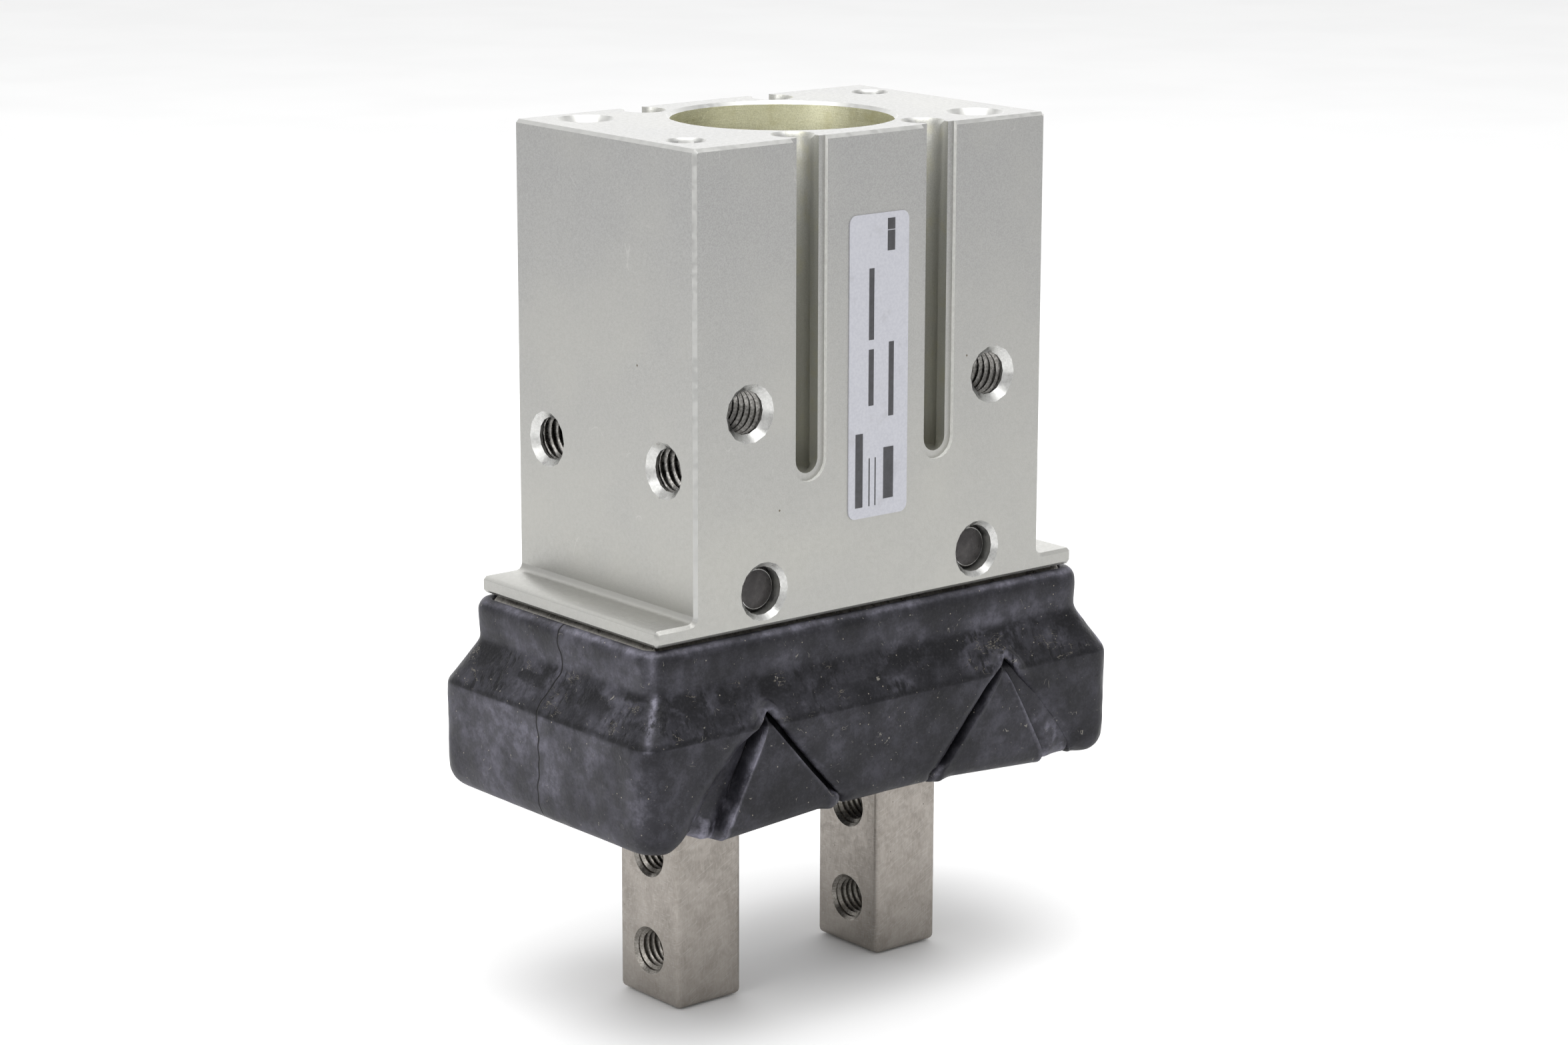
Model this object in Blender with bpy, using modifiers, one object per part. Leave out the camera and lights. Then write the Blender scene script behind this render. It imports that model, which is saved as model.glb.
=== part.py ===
"""Parallel pneumatic gripper, 25 mm bore class, with a rubber dust cover.

Every length below is in millimetres and is turned into metres where it is used.
Frame: origin at the centre of the top mounting face, +Z up, fingers pointing down,
+X along the opening direction of the fingers, -Y the front face with the label.
The rest pose has the fingers almost closed.
"""

import math

import bmesh
import bpy
from mathutils import Matrix, Vector

MM = 0.001

# --- body -----------------------------------------------------------------------------
BODY_W = 52.0            # along X
BODY_D = 33.2            # along Y
BODY_H = 54.9            # top face to the underside of the flange
FLANGE_W = 63.0
FLANGE_T = 1.95
FLANGE_FILLET = 0.8
EDGE_CHAMFER = 0.4

PILOT_R = 13.0           # pilot bore in the top face
PILOT_DEPTH = 3.8
RING_GROOVE_R = 13.8
RING_GROOVE_W = 1.3
CAP_SEAT_Z = -10.45
BORE_R = 12.5
BORE_FLOOR_Z = -31.6
SEAL_POCKET_R = 7.5
SEAL_POCKET_DEPTH = 2.4
ROD_HOLE_R = 5.3

CAVITY_HX = 21.3         # the levers' space, open at the bottom
CAVITY_HY = 6.7
CAVITY_H = 18.4

SLOT_X = 9.6             # sensor slots, two in front and two behind
SLOT_FLOOR = 18.4        # centre of the slot's round end above the flange underside
SLOT_LIP_W = 5.0
SLOT_LIP_DEPTH = 0.5
SLOT_NECK_W = 3.2
SLOT_CHANNEL_R = 2.0
SLOT_CHANNEL_BACK = 3.1  # channel centre behind the face

MOUNT_X, MOUNT_Z = 18.15, 24.8     # threaded holes in the front and rear faces
END_Y, END_Z = 10.95, 18.4         # threaded holes in the end faces
TOP_X, TOP_Y = 19.5, 11.5          # threaded holes in the top face
DOWEL_X, DOWEL_Y = 22.0, 10.1      # locating holes in the top face
THREAD_R = 2.5
THREAD_SINK_R = 3.4
PORT_R = 2.1
PORT_UPPER_Z, PORT_LOWER_Z = -10.9, -30.9

# --- linkage --------------------------------------------------------------------------
PIVOT_X, PIVOT_H = 16.1, 4.15      # lever pivot, height above the flange underside
SHAFT_R = 2.5
SHAFT_RECESS = 1.5
ARM_PIN_X = 4.0                    # yoke pins at +-X
ARM_OFFSET = math.radians(8.0)     # inner arm above horizontal at mid stroke
ARM_TIP = 15.2
ARM_HALF = 3.1
ARM_SLOT_HALF = 1.65
LOWER_ARM = 9.6
NOSE_R = 2.5
LEVER_HY = 3.5
BOSS_R = 4.6
BOSS_HY = 6.2

FINGER_TRAVEL_IN = 1.0             # from the rest pose to fully closed
FINGER_TRAVEL_OUT = 6.0            # from the rest pose to fully open
FINGER_PER_PISTON = 0.74
REST_OFFSET = (FINGER_TRAVEL_OUT - FINGER_TRAVEL_IN) / 2   # inward of mid stroke
REST_TURN = REST_OFFSET / LOWER_ARM                        # lever turn from mid stroke

# --- piston, rod ----------------------------------------------------------------------
PISTON_R = 12.2
PISTON_L = 9.2
PISTON_TOP_Z = -12.6
ROD_R = 5.0
YOKE_PIN_R = 1.3

# --- guide ----------------------------------------------------------------------------
GUIDE_HX, GUIDE_HY = 31.0, 15.4
GUIDE_TOP, GUIDE_BOTTOM = -0.3, -11.3      # heights from the flange underside
CHANNEL_HY = 9.05
CHANNEL_TOP = -2.5
WINDOW_HX, WINDOW_HY = 22.5, 6.7
BALL_Y, BALL_H, BALL_R = 8.2, -7.4, 1.5
GROOVE_R = 1.85

# --- fingers --------------------------------------------------------------------------
FINGER_IN, FINGER_OUT = 10.55, 20.05       # inner and outer faces at rest
FINGER_HY = 5.6
FINGER_TIP = -48.0
CARRIAGE_HX, CARRIAGE_HY = 9.6, 7.4
CARRIAGE_TOP, CARRIAGE_BOTTOM = -3.9, -11.6
POCKET_HX, POCKET_HY = 2.9, 4.0
FINGER_HOLES = (-30.1, -42.1)
FINGER_HOLE_R = 2.1

# --- dust cover -----------------------------------------------------------------------
# half length, half width, corner radius, height from the flange underside
COVER_OUTER = (
    (31.9, 16.7, 2.0, -0.35),
    (32.8, 17.2, 2.4, -1.3),
    (32.5, 17.2, 2.4, -5.3),
    (35.7, 20.1, 3.0, -10.4),
    (35.5, 20.2, 3.0, -21.2),
    (34.7, 19.5, 3.0, -22.7),
    (33.6, 18.6, 3.0, -23.2),
)
COVER_INNER = (
    (31.4, 15.8, 1.6, 1.0),
    (31.4, 15.8, 1.6, -5.6),
    (34.2, 18.7, 2.0, -10.9),
    (34.1, 18.8, 2.0, -21.0),
    (33.4, 18.0, 2.0, -21.8),
)
COVER_WINDOW = (7.35, 28.25, 7.75)         # inner X, outer X, half Y of the finger windows
COLLAR_WALL = 1.5
COLLAR_TOP, COLLAR_BOTTOM = -21.2, -25.8

# --- label ----------------------------------------------------------------------------
LABEL_X, LABEL_H = 0.5, 28.0
LABEL_HX, LABEL_HZ = 4.4, 17.5
LABEL_T, LABEL_GAP = 0.2, 0.1


def from_flange(height):
    """Height above the flange's underside -> z in the part's frame."""
    return height - BODY_H


# --- scene ----------------------------------------------------------------------------
for old in list(bpy.data.objects):
    bpy.data.objects.remove(old, do_unlink=True)

parts = bpy.data.collections.new("Parallel_Gripper")
tools = bpy.data.collections.new("Cutters")
bpy.context.scene.collection.children.link(parts)
bpy.context.scene.collection.children.link(tools)


def material(name, colour, roughness, metallic):
    m = bpy.data.materials.new(name)
    m.use_nodes = True
    bsdf = m.node_tree.nodes["Principled BSDF"]
    bsdf.inputs["Base Color"].default_value = (*colour, 1.0)
    bsdf.inputs["Roughness"].default_value = roughness
    bsdf.inputs["Metallic"].default_value = metallic
    m.diffuse_color = (*colour, 1.0)
    return m


ALUMINIUM = material("anodised_aluminium", (0.53, 0.53, 0.51), 0.45, 0.8)
BARE_ALUMINIUM = material("turned_aluminium", (0.62, 0.61, 0.58), 0.35, 0.9)
STEEL = material("ground_steel", (0.42, 0.40, 0.37), 0.32, 1.0)
BRIGHT_STEEL = material("bright_steel", (0.60, 0.60, 0.60), 0.2, 1.0)
BLACK_STEEL = material("black_oxide_steel", (0.03, 0.03, 0.032), 0.4, 0.7)
RUBBER = material("black_rubber", (0.035, 0.038, 0.045), 0.75, 0.0)
SEAL_RUBBER = material("seal_rubber", (0.02, 0.02, 0.02), 0.6, 0.0)
URETHANE = material("urethane", (0.65, 0.42, 0.12), 0.5, 0.0)
MAGNET = material("magnet", (0.10, 0.09, 0.09), 0.5, 0.3)
FOIL = material("silver_foil", (0.66, 0.70, 0.76), 0.4, 0.2)


# --- helpers --------------------------------------------------------------------------
def link(obj, collection):
    collection.objects.link(obj)
    if collection is tools:
        obj.hide_render = True
        obj.display_type = "WIRE"
    return obj


def from_bmesh(name, bm, collection, mat=None):
    mesh = bpy.data.meshes.new(name)
    bm.to_mesh(mesh)
    bm.free()
    if mat:
        mesh.materials.append(mat)
    return link(bpy.data.objects.new(name, mesh), collection)


def box(name, lo, hi, collection=tools, mat=None):
    """A box from its two corners; its object sits at its centre."""
    bm = bmesh.new()
    bmesh.ops.create_cube(bm, size=1.0)
    size = [(h - l) * MM for l, h in zip(lo, hi)]
    bmesh.ops.scale(bm, vec=size, verts=bm.verts)
    obj = from_bmesh(name, bm, collection, mat)
    obj.location = [(l + h) / 2 * MM for l, h in zip(lo, hi)]
    return obj


AXES = {"X": Matrix.Rotation(math.pi / 2, 4, "Y"), "Y": Matrix.Rotation(-math.pi / 2, 4, "X"), "Z": Matrix()}


def rod(name, r, centre, length, axis="Z", r_end=None, segments=24, collection=tools, mat=None):
    """A cylinder or cone along an axis; r is at its low end and r_end at its high end."""
    bm = bmesh.new()
    bmesh.ops.create_cone(
        bm, cap_ends=True, segments=segments, radius1=r * MM,
        radius2=(r if r_end is None else r_end) * MM, depth=length * MM,
    )
    obj = from_bmesh(name, bm, collection, mat)
    obj.matrix_world = Matrix.Translation([c * MM for c in centre]) @ AXES[axis]
    smooth(obj)
    return obj


def smooth(obj, angle=35):
    obj.data.shade_smooth()
    obj.data.set_sharp_from_angle(angle=math.radians(angle))
    return obj


def turned(name, profile, closed=False, steps=40, collection=tools, mat=None, at=(0, 0, 0)):
    """A turned shape round Z. Its profile of (radius, z) runs down the outer side."""
    bm = bmesh.new()
    points = [bm.verts.new((r * MM, 0, z * MM)) for r, z in profile]
    for a, b in zip(points, points[1:]):
        bm.edges.new((a, b))
    if closed:
        bm.edges.new((points[-1], points[0]))
    obj = from_bmesh(name, bm, collection, mat)
    screw = obj.modifiers.new("Turn", "SCREW")
    screw.axis = "Z"
    screw.angle = 2 * math.pi
    screw.steps = screw.render_steps = steps
    screw.use_merge_vertices = True
    screw.merge_threshold = 1e-6
    screw.use_smooth_shade = False
    obj.location = [c * MM for c in at]
    return obj


def ring(name, r_in, r_out, z_low, z_high, **more):
    return turned(name, [(r_out, z_high), (r_out, z_low), (r_in, z_low), (r_in, z_high)], closed=True, **more)


def hole(name, mouth, outward, depth, r, sink_r, through=False, segments=14, way=()):
    """A cutter for a drilled hole with a 45 degree countersink, at both ends if it goes through.
    way is the (radius, depth) of a finer hole that goes on from its floor."""
    reach = sink_r + 1.0
    profile = [(0, 1.0), (reach, 1.0), (r, r - sink_r)]
    if through:
        profile += [(r, sink_r - r - depth), (reach, -depth - 1.0), (0, -depth - 1.0)]
    else:
        profile += [(r, -depth)] + ([(way[0], -depth), (way[0], -way[1])] if way else [])
        profile += [(0, profile[-1][1])]
    tool = turned(name, profile, steps=segments)
    turn = Vector(outward).to_track_quat("Z", "Y").to_matrix().to_4x4()
    tool.matrix_world = Matrix.Translation([c * MM for c in mouth]) @ turn
    return tool


def boolean(obj, other, operation):
    m = obj.modifiers.new(operation.title(), "BOOLEAN")
    m.operation = operation
    m.solver = "EXACT"
    m.object = other


def cut(obj, *others):
    for other in others:
        boolean(obj, other, "DIFFERENCE")


def join(obj, *others):
    for other in others:
        boolean(obj, other, "UNION")


def bevel(obj, width, segments=1, angle=40):
    m = obj.modifiers.new("Bevel", "BEVEL")
    m.width = width * MM
    m.segments = segments
    m.limit_method = "ANGLE"
    m.angle_limit = math.radians(angle)
    return m


def outline(name, points, depth, collection=parts, mat=None):
    """A flat outline in XZ, extruded along Y by depth, centred on y = 0, as a mesh."""
    curve = bpy.data.curves.new(name + "_outline", "CURVE")
    curve.dimensions = "2D"
    curve.fill_mode = "BOTH"
    curve.extrude = depth / 2 * MM
    spline = curve.splines.new("POLY")
    spline.points.add(len(points) - 1)
    for p, (x, z) in zip(spline.points, points):
        p.co = (x * MM, z * MM, 0, 1)
    spline.use_cyclic_u = True
    guide = bpy.data.objects.new(name + "_outline", curve)
    guide.matrix_world = Matrix.Rotation(math.pi / 2, 4, "X")
    tools.objects.link(guide)
    bpy.context.view_layer.update()
    mesh = bpy.data.meshes.new_from_object(guide.evaluated_get(bpy.context.evaluated_depsgraph_get()))
    bm = bmesh.new()
    bm.from_mesh(mesh)
    bmesh.ops.remove_doubles(bm, verts=bm.verts, dist=1e-7)
    bmesh.ops.recalc_face_normals(bm, faces=bm.faces)
    bmesh.ops.dissolve_limit(bm, angle_limit=math.radians(0.5), verts=bm.verts, edges=bm.edges)
    bm.to_mesh(mesh)
    bm.free()
    mesh.materials.clear()
    if mat:
        mesh.materials.append(mat)
    obj = bpy.data.objects.new(name, mesh)
    obj.matrix_world = guide.matrix_world.copy()
    bpy.data.objects.remove(guide, do_unlink=True)
    return link(obj, collection)


def rounded_loop(bm, hx, hy, r, z, corner_steps=3):
    """One closed loop of edges: a rectangle with round corners at height z."""
    verts = []
    for quarter, (cx, cy) in enumerate(((hx - r, hy - r), (-hx + r, hy - r), (-hx + r, -hy + r), (hx - r, -hy + r))):
        for i in range(corner_steps + 1):
            a = math.pi / 2 * (quarter + i / corner_steps)
            verts.append(bm.verts.new(((cx + r * math.cos(a)) * MM, (cy + r * math.sin(a)) * MM, z * MM)))
    return [bm.edges.new((a, b)) for a, b in zip(verts, verts[1:] + verts[:1])]


def loft(name, sections, collection, mat=None):
    """A skin through rounded rectangles of different sizes, capped at both ends."""
    bm = bmesh.new()
    loops = [rounded_loop(bm, hx, hy, r, from_flange(h)) for hx, hy, r, h in sections]
    for a, b in zip(loops, loops[1:]):
        bmesh.ops.bridge_loops(bm, edges=a + b)
    bmesh.ops.contextual_create(bm, geom=loops[0])
    bmesh.ops.contextual_create(bm, geom=loops[-1])
    bmesh.ops.recalc_face_normals(bm, faces=bm.faces)
    return from_bmesh(name, bm, collection, mat)


# --- body -----------------------------------------------------------------------------
def body_outline():
    """The body from the front: block, flange and the small fillet between them."""
    c, f = EDGE_CHAMFER, FLANGE_FILLET
    right = [(BODY_W / 2 - c, 0), (BODY_W / 2, -c)]
    bend = from_flange(FLANGE_T)
    for i in range(4):
        a = math.pi / 2 * i / 3
        right.append((BODY_W / 2 + f * (1 - math.cos(a)), bend + f * (1 - math.sin(a))))
    right += [
        (FLANGE_W / 2 - c, bend), (FLANGE_W / 2, bend - c),
        (FLANGE_W / 2, from_flange(c)), (FLANGE_W / 2 - c, from_flange(0)),
    ]
    return right + [(-x, z) for x, z in reversed(right)]


body = outline("body", body_outline(), BODY_D, mat=ALUMINIUM)
bevel(body, EDGE_CHAMFER, angle=60)

bore = turned(
    "cut_bore",
    [
        (0, 1.0), (PILOT_R + 0.4, 1.0), (PILOT_R + 0.4, 0.0), (PILOT_R, -0.4), (PILOT_R, -PILOT_DEPTH),
        (RING_GROOVE_R, -PILOT_DEPTH), (RING_GROOVE_R, -PILOT_DEPTH - RING_GROOVE_W),
        (PILOT_R, -PILOT_DEPTH - RING_GROOVE_W), (PILOT_R, CAP_SEAT_Z), (BORE_R, CAP_SEAT_Z),
        (BORE_R, BORE_FLOOR_Z), (SEAL_POCKET_R, BORE_FLOOR_Z),
        (SEAL_POCKET_R, BORE_FLOOR_Z - SEAL_POCKET_DEPTH), (ROD_HOLE_R, BORE_FLOOR_Z - SEAL_POCKET_DEPTH),
        (ROD_HOLE_R, from_flange(CAVITY_H) - 1.0), (0, from_flange(CAVITY_H) - 1.0),
    ],
    steps=36,
)
cavity = box(
    "cut_lever_cavity",
    (-CAVITY_HX, -CAVITY_HY, from_flange(-1.0)), (CAVITY_HX, CAVITY_HY, from_flange(CAVITY_H)),
)
cut(body, bore, cavity)

def slot_tool(name, x, half, z_low, z_high, depths):
    """A cutter for a slot that is open at the top and round at the bottom."""
    end = [(x + half * math.cos(a), z_low + half * math.sin(a)) for a in (math.pi + i * math.pi / 10 for i in range(11))]
    tool = outline(name, [(x + half, z_high), (x - half, z_high)] + end, abs(depths[1] - depths[0]), tools)
    tool.location.y = sum(depths) / 2 * MM
    return tool


# sensor slots: a wide shallow lip, a narrow neck and a round channel, open at the top
for side in (-1, 1):
    for face in (-1, 1):
        tag = ("l" if side < 0 else "r") + ("f" if face < 0 else "b")
        x, y = side * SLOT_X, face * BODY_D / 2
        z0 = from_flange(SLOT_FLOOR)
        back = y - face * SLOT_CHANNEL_BACK
        lip = (y - face * SLOT_LIP_DEPTH, y + face * 1.0)
        neck = (back, y + face * 1.3)
        pieces = [
            slot_tool(f"cut_slot_lip_{tag}", x, SLOT_LIP_W / 2, z0, 1.0, lip),
            slot_tool(f"cut_slot_neck_{tag}", x, SLOT_NECK_W / 2, z0, 1.2, neck),
            rod(f"cut_slot_channel_{tag}", SLOT_CHANNEL_R, (x, back, (z0 - 1.6 + 1.4) / 2), 1.4 - (z0 - 1.6), segments=20),
            rod(f"cut_slot_mouth_{tag}", SLOT_CHANNEL_R - 0.05, (x, back, 0.0), 1.2, r_end=SLOT_CHANNEL_R + 1.15, segments=20),
        ]
        cut(body, *pieces)

# lever shaft holes right through, countersunk at both faces
for side in (-1, 1):
    mouth = (side * PIVOT_X, -BODY_D / 2, from_flange(PIVOT_H))
    cut(body, hole(f"cut_shaft_{side}", mouth, (0, -1, 0), BODY_D, SHAFT_R + 0.3, THREAD_SINK_R, True, 18))

# threaded holes in front and rear faces, in both end faces and in the top face
for side in (-1, 1):
    for face in (-1, 1):
        tag = f"{side}{face}"
        mouth = (side * MOUNT_X, face * BODY_D / 2, from_flange(MOUNT_Z))
        cut(body, hole("cut_mount_" + tag, mouth, (0, face, 0), 11.5, THREAD_R, THREAD_SINK_R))
        mouth = (side * BODY_W / 2, face * END_Y, from_flange(END_Z))
        cut(body, hole("cut_end_" + tag, mouth, (side, 0, 0), 10.0, THREAD_R, THREAD_SINK_R - 0.1))
    cut(body, hole(f"cut_top_{side}", (side * TOP_X, -side * TOP_Y, 0), (0, 0, 1), 12.0, THREAD_R, THREAD_SINK_R))
    cut(body, hole(f"cut_dowel_{side}", (side * DOWEL_X, side * DOWEL_Y, 0), (0, 0, 1), 4.0, 2.0, 2.35))

# air ports in the right end face, each with a drilled way to its end of the bore
for name, z in (("open", PORT_UPPER_Z), ("close", PORT_LOWER_Z)):
    cut(body, hole(f"cut_port_{name}", (BODY_W / 2, 0, z), (1, 0, 0), 8.0, PORT_R, 2.8, way=(0.6, 14.6)))

# threads for the guide's screws and holes for its dowels, from below
SCREW_X, SCREW_Y = 22.6, 12.3
for i, (sx, sy) in enumerate(((-1, -1), (1, -1), (1, 1), (-1, 1)), 1):
    cut(body, rod(f"cut_guide_screw_{i}", 1.8, (sx * SCREW_X, sy * SCREW_Y, from_flange(3.5)), 9.0, segments=14))
for sy in (-1, 1):
    cut(body, rod(f"cut_guide_dowel_{sy}", 1.8, (0, sy * SCREW_Y, from_flange(1.5)), 5.0, segments=14))


# --- label ----------------------------------------------------------------------------
label_y = -BODY_D / 2 - LABEL_GAP
label = box(
    "label_plate",
    (LABEL_X - LABEL_HX, label_y - LABEL_T, from_flange(LABEL_H - LABEL_HZ)),
    (LABEL_X + LABEL_HX, label_y, from_flange(LABEL_H + LABEL_HZ)),
    parts, FOIL,
)


# --- cylinder head --------------------------------------------------------------------
turned(
    "head_cap",
    [
        (0, -3.95), (8.3, -3.95), (8.6, -4.25), (8.6, -5.25), (12.4, -5.25), (12.7, -5.55), (12.7, -7.0),
        (11.0, -7.0), (11.0, -9.0), (12.7, -9.0), (12.7, -10.25), (8.3, -10.25), (8.3, -9.35), (0, -9.35),
    ],
    steps=28, collection=parts, mat=BARE_ALUMINIUM,
)
turned(
    "cap_o_ring",
    [(11.95 + 0.72 * math.cos(a), -8.0 + 0.72 * math.sin(a)) for a in (math.pi / 2 - i * math.pi / 3 for i in range(6))],
    closed=True, steps=24, collection=parts, mat=SEAL_RUBBER,
)
turned("bumper_top", [(0, -9.65), (8.0, -9.65), (8.0, -10.95), (0, -10.95)], steps=24, collection=parts, mat=URETHANE)

clip = ring("retaining_ring", 11.2, 13.5, -4.95, -3.95, steps=32, collection=parts, mat=BLACK_STEEL)
cut(clip, box("cut_clip_gap", (-2.6, -15.0, -6.0), (2.6, -9.0, -3.0)))
for side in (-1, 1):
    lug = rod(f"clip_lug_{side}", 1.5, (side * 4.0, -10.9, -4.45), 1.0, segments=16)
    join(clip, lug)
    cut(clip, rod(f"cut_clip_eye_{side}", 0.6, (side * 4.0, -10.9, -4.45), 2.0, segments=10))


# --- piston and rod -------------------------------------------------------------------
piston_base = PISTON_TOP_Z - PISTON_L
turned(
    "piston",
    [
        (3.9, 0), (PISTON_R - 0.3, 0), (PISTON_R, -0.3), (PISTON_R, -1.2), (9.9, -1.2), (9.9, -3.8), (PISTON_R, -3.8),
        (PISTON_R, -5.2), (9.2, -5.2), (9.2, -8.0), (PISTON_R, -8.0), (PISTON_R, -8.9), (PISTON_R - 0.3, -PISTON_L),
        (4.3, -PISTON_L), (4.3, -PISTON_L + 3.4), (2.3, -PISTON_L + 3.4), (2.3, -3.6), (3.9, -3.6),
    ],
    closed=True, steps=24, collection=parts, mat=BARE_ALUMINIUM, at=(0, 0, PISTON_TOP_Z),
)
turned(
    "piston_seal",
    [(12.3, -1.5), (12.3, -2.0), (11.9, -2.5), (12.3, -3.0), (12.3, -3.5), (10.2, -3.5), (10.2, -1.5)],
    closed=True, steps=24, collection=parts, mat=SEAL_RUBBER, at=(0, 0, PISTON_TOP_Z),
)
ring("magnet_ring", 9.5, 11.9, -7.7, -5.5, steps=24, collection=parts, mat=MAGNET, at=(0, 0, PISTON_TOP_Z))

screw = turned(
    "piston_screw",
    [(0, -0.35), (3.3, -0.35), (3.5, -0.6), (3.5, -3.3), (2.0, -3.3), (2.0, -8.6), (0, -8.6)],
    steps=16, collection=parts, mat=BLACK_STEEL, at=(0, 0, PISTON_TOP_Z),
)
cut(screw, rod("cut_piston_hex", 1.75, (0, 0, PISTON_TOP_Z - 0.8), 2.4, segments=6))

arm_reach = PIVOT_X - ARM_PIN_X
# The yoke pins rise in step with the levers' turn; the line is set between the ends and the
# middle of the arms' true path, so that the slots' clearance takes up what is left.
arc_high = arm_reach * math.tan(ARM_OFFSET + (FINGER_TRAVEL_IN + REST_OFFSET) / LOWER_ARM)
arc_low = arm_reach * math.tan(ARM_OFFSET - (FINGER_TRAVEL_OUT - REST_OFFSET) / LOWER_ARM)
arc_mid = arm_reach * math.tan(ARM_OFFSET)
line_mid = ((arc_high + arc_low) / 2 + arc_mid) / 2
PIN_H = PIVOT_H + line_mid + REST_OFFSET / FINGER_PER_PISTON
pin_z = from_flange(PIN_H)

yoke_top = pin_z + 7.3
rod_top = piston_base - 0.3
piston_rod = turned(
    "piston_rod",
    [
        (0, rod_top + 3.4), (3.7, rod_top + 3.4), (4.0, rod_top + 3.1), (4.0, rod_top), (ROD_R, rod_top),
        (ROD_R, yoke_top - 1.0), (0, yoke_top - 1.0),
    ],
    steps=32, collection=parts, mat=STEEL,
)
yoke = box("yoke_block", (-5.9, -6.1, pin_z - 2.6), (5.9, 6.1, yoke_top))
bevel(yoke, 0.5)
join(piston_rod, yoke)
cut(
    piston_rod,
    box("cut_yoke_fork", (-8.0, -3.9, pin_z - 4.0), (8.0, 3.9, pin_z + 5.1)),
    rod("cut_rod_thread", 2.3, (0, 0, rod_top), 10.0, segments=16),
)
for side, name in ((-1, "left"), (1, "right")):
    cut(piston_rod, rod(f"cut_yoke_pin_{name}", YOKE_PIN_R + 0.3, (side * ARM_PIN_X, 0, pin_z), 16.0, "Y", segments=16))
    rod(f"yoke_pin_{name}", YOKE_PIN_R, (side * ARM_PIN_X, 0, pin_z), 11.8, "Y", segments=20, collection=parts, mat=BRIGHT_STEEL)

ring("rod_seal", 5.3, 7.2, BORE_FLOOR_Z - 2.1, BORE_FLOOR_Z - 0.3, steps=20, collection=parts, mat=SEAL_RUBBER)
ring("bumper_bottom", 5.6, 9.0, BORE_FLOOR_Z + 0.3, BORE_FLOOR_Z + 1.4, steps=20, collection=parts, mat=URETHANE)


# --- levers and their shafts ----------------------------------------------------------
def lever(name, side):
    """A bell crank: forked inner arm towards the rod, lower arm with a round nose."""
    x, z = side * PIVOT_X, from_flange(PIVOT_H)
    pivot = Matrix.Translation((x * MM, 0, z * MM))
    rise = ARM_OFFSET + REST_TURN
    crank = rod(name, BOSS_R, (x, 0, z), 2 * BOSS_HY, "Y", segments=28, collection=parts, mat=STEEL)

    def placed(obj, turn, reach):
        """Put a piece that was made at reach along +X onto the arm that points along turn."""
        obj.matrix_world = pivot @ Matrix.Rotation(-turn, 4, "Y") @ Matrix.Translation((reach * MM, 0, 0))
        return obj

    inner = math.pi - rise if side > 0 else rise
    lower = -math.pi / 2 - side * REST_TURN
    arm = placed(box(name + "_arm", (-ARM_TIP / 2, -LEVER_HY, -ARM_HALF), (ARM_TIP / 2, LEVER_HY, ARM_HALF)), inner, ARM_TIP / 2)
    bevel(arm, 0.6)
    leg = placed(box(name + "_leg", (-LOWER_ARM / 2, -LEVER_HY, -1.7), (LOWER_ARM / 2, LEVER_HY, 1.7)), lower, LOWER_ARM / 2)
    nose = rod(
        name + "_nose", NOSE_R,
        (x + LOWER_ARM * math.cos(lower), 0, z + LOWER_ARM * math.sin(lower)), 2 * LEVER_HY, "Y", segments=24,
    )
    join(crank, arm, leg, nose)
    fork = placed(
        box("cut_" + name + "_fork", (-3.2, -LEVER_HY - 1, -ARM_SLOT_HALF), (3.2, LEVER_HY + 1, ARM_SLOT_HALF)),
        inner, 10.4 + 3.2,
    )
    cut(crank, fork, rod("cut_" + name + "_bore", SHAFT_R + 0.3, (x, 0, z), 2 * BOSS_HY + 2, "Y", segments=24))
    return crank


for side, name in ((-1, "left"), (1, "right")):
    lever("lever_" + name, side)
    shaft = rod(
        "lever_shaft_" + name, SHAFT_R, (side * PIVOT_X, 0, from_flange(PIVOT_H)), BODY_D - 2 * SHAFT_RECESS, "Y",
        segments=24, collection=parts, mat=BLACK_STEEL,
    )
    bevel(shaft, 0.3)


# --- guide ----------------------------------------------------------------------------
guide = box(
    "guide_rail",
    (-GUIDE_HX, -GUIDE_HY, from_flange(GUIDE_BOTTOM)), (GUIDE_HX, GUIDE_HY, from_flange(GUIDE_TOP)),
    parts, STEEL,
)
bevel(guide, 0.5)
cut(
    guide,
    box("cut_channel", (-40, -CHANNEL_HY, from_flange(-13)), (40, CHANNEL_HY, from_flange(CHANNEL_TOP))),
    box("cut_window", (-WINDOW_HX, -WINDOW_HY, from_flange(-4)), (WINDOW_HX, WINDOW_HY, from_flange(1))),
)
for sy in (-1, 1):
    cut(guide, rod(f"cut_guide_groove_{sy}", GROOVE_R, (0, sy * BALL_Y, from_flange(BALL_H)), 80, "X", segments=16))
    cut(guide, rod(f"cut_dowel_seat_{sy}", 1.8, (0, sy * SCREW_Y, from_flange(-1.5)), 5.0, segments=14))
    rod(
        "guide_dowel_" + ("front" if sy < 0 else "rear"), 1.5, (0, sy * SCREW_Y, from_flange(-0.15)), 7.0,
        segments=18, collection=parts, mat=BRIGHT_STEEL,
    )
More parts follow.
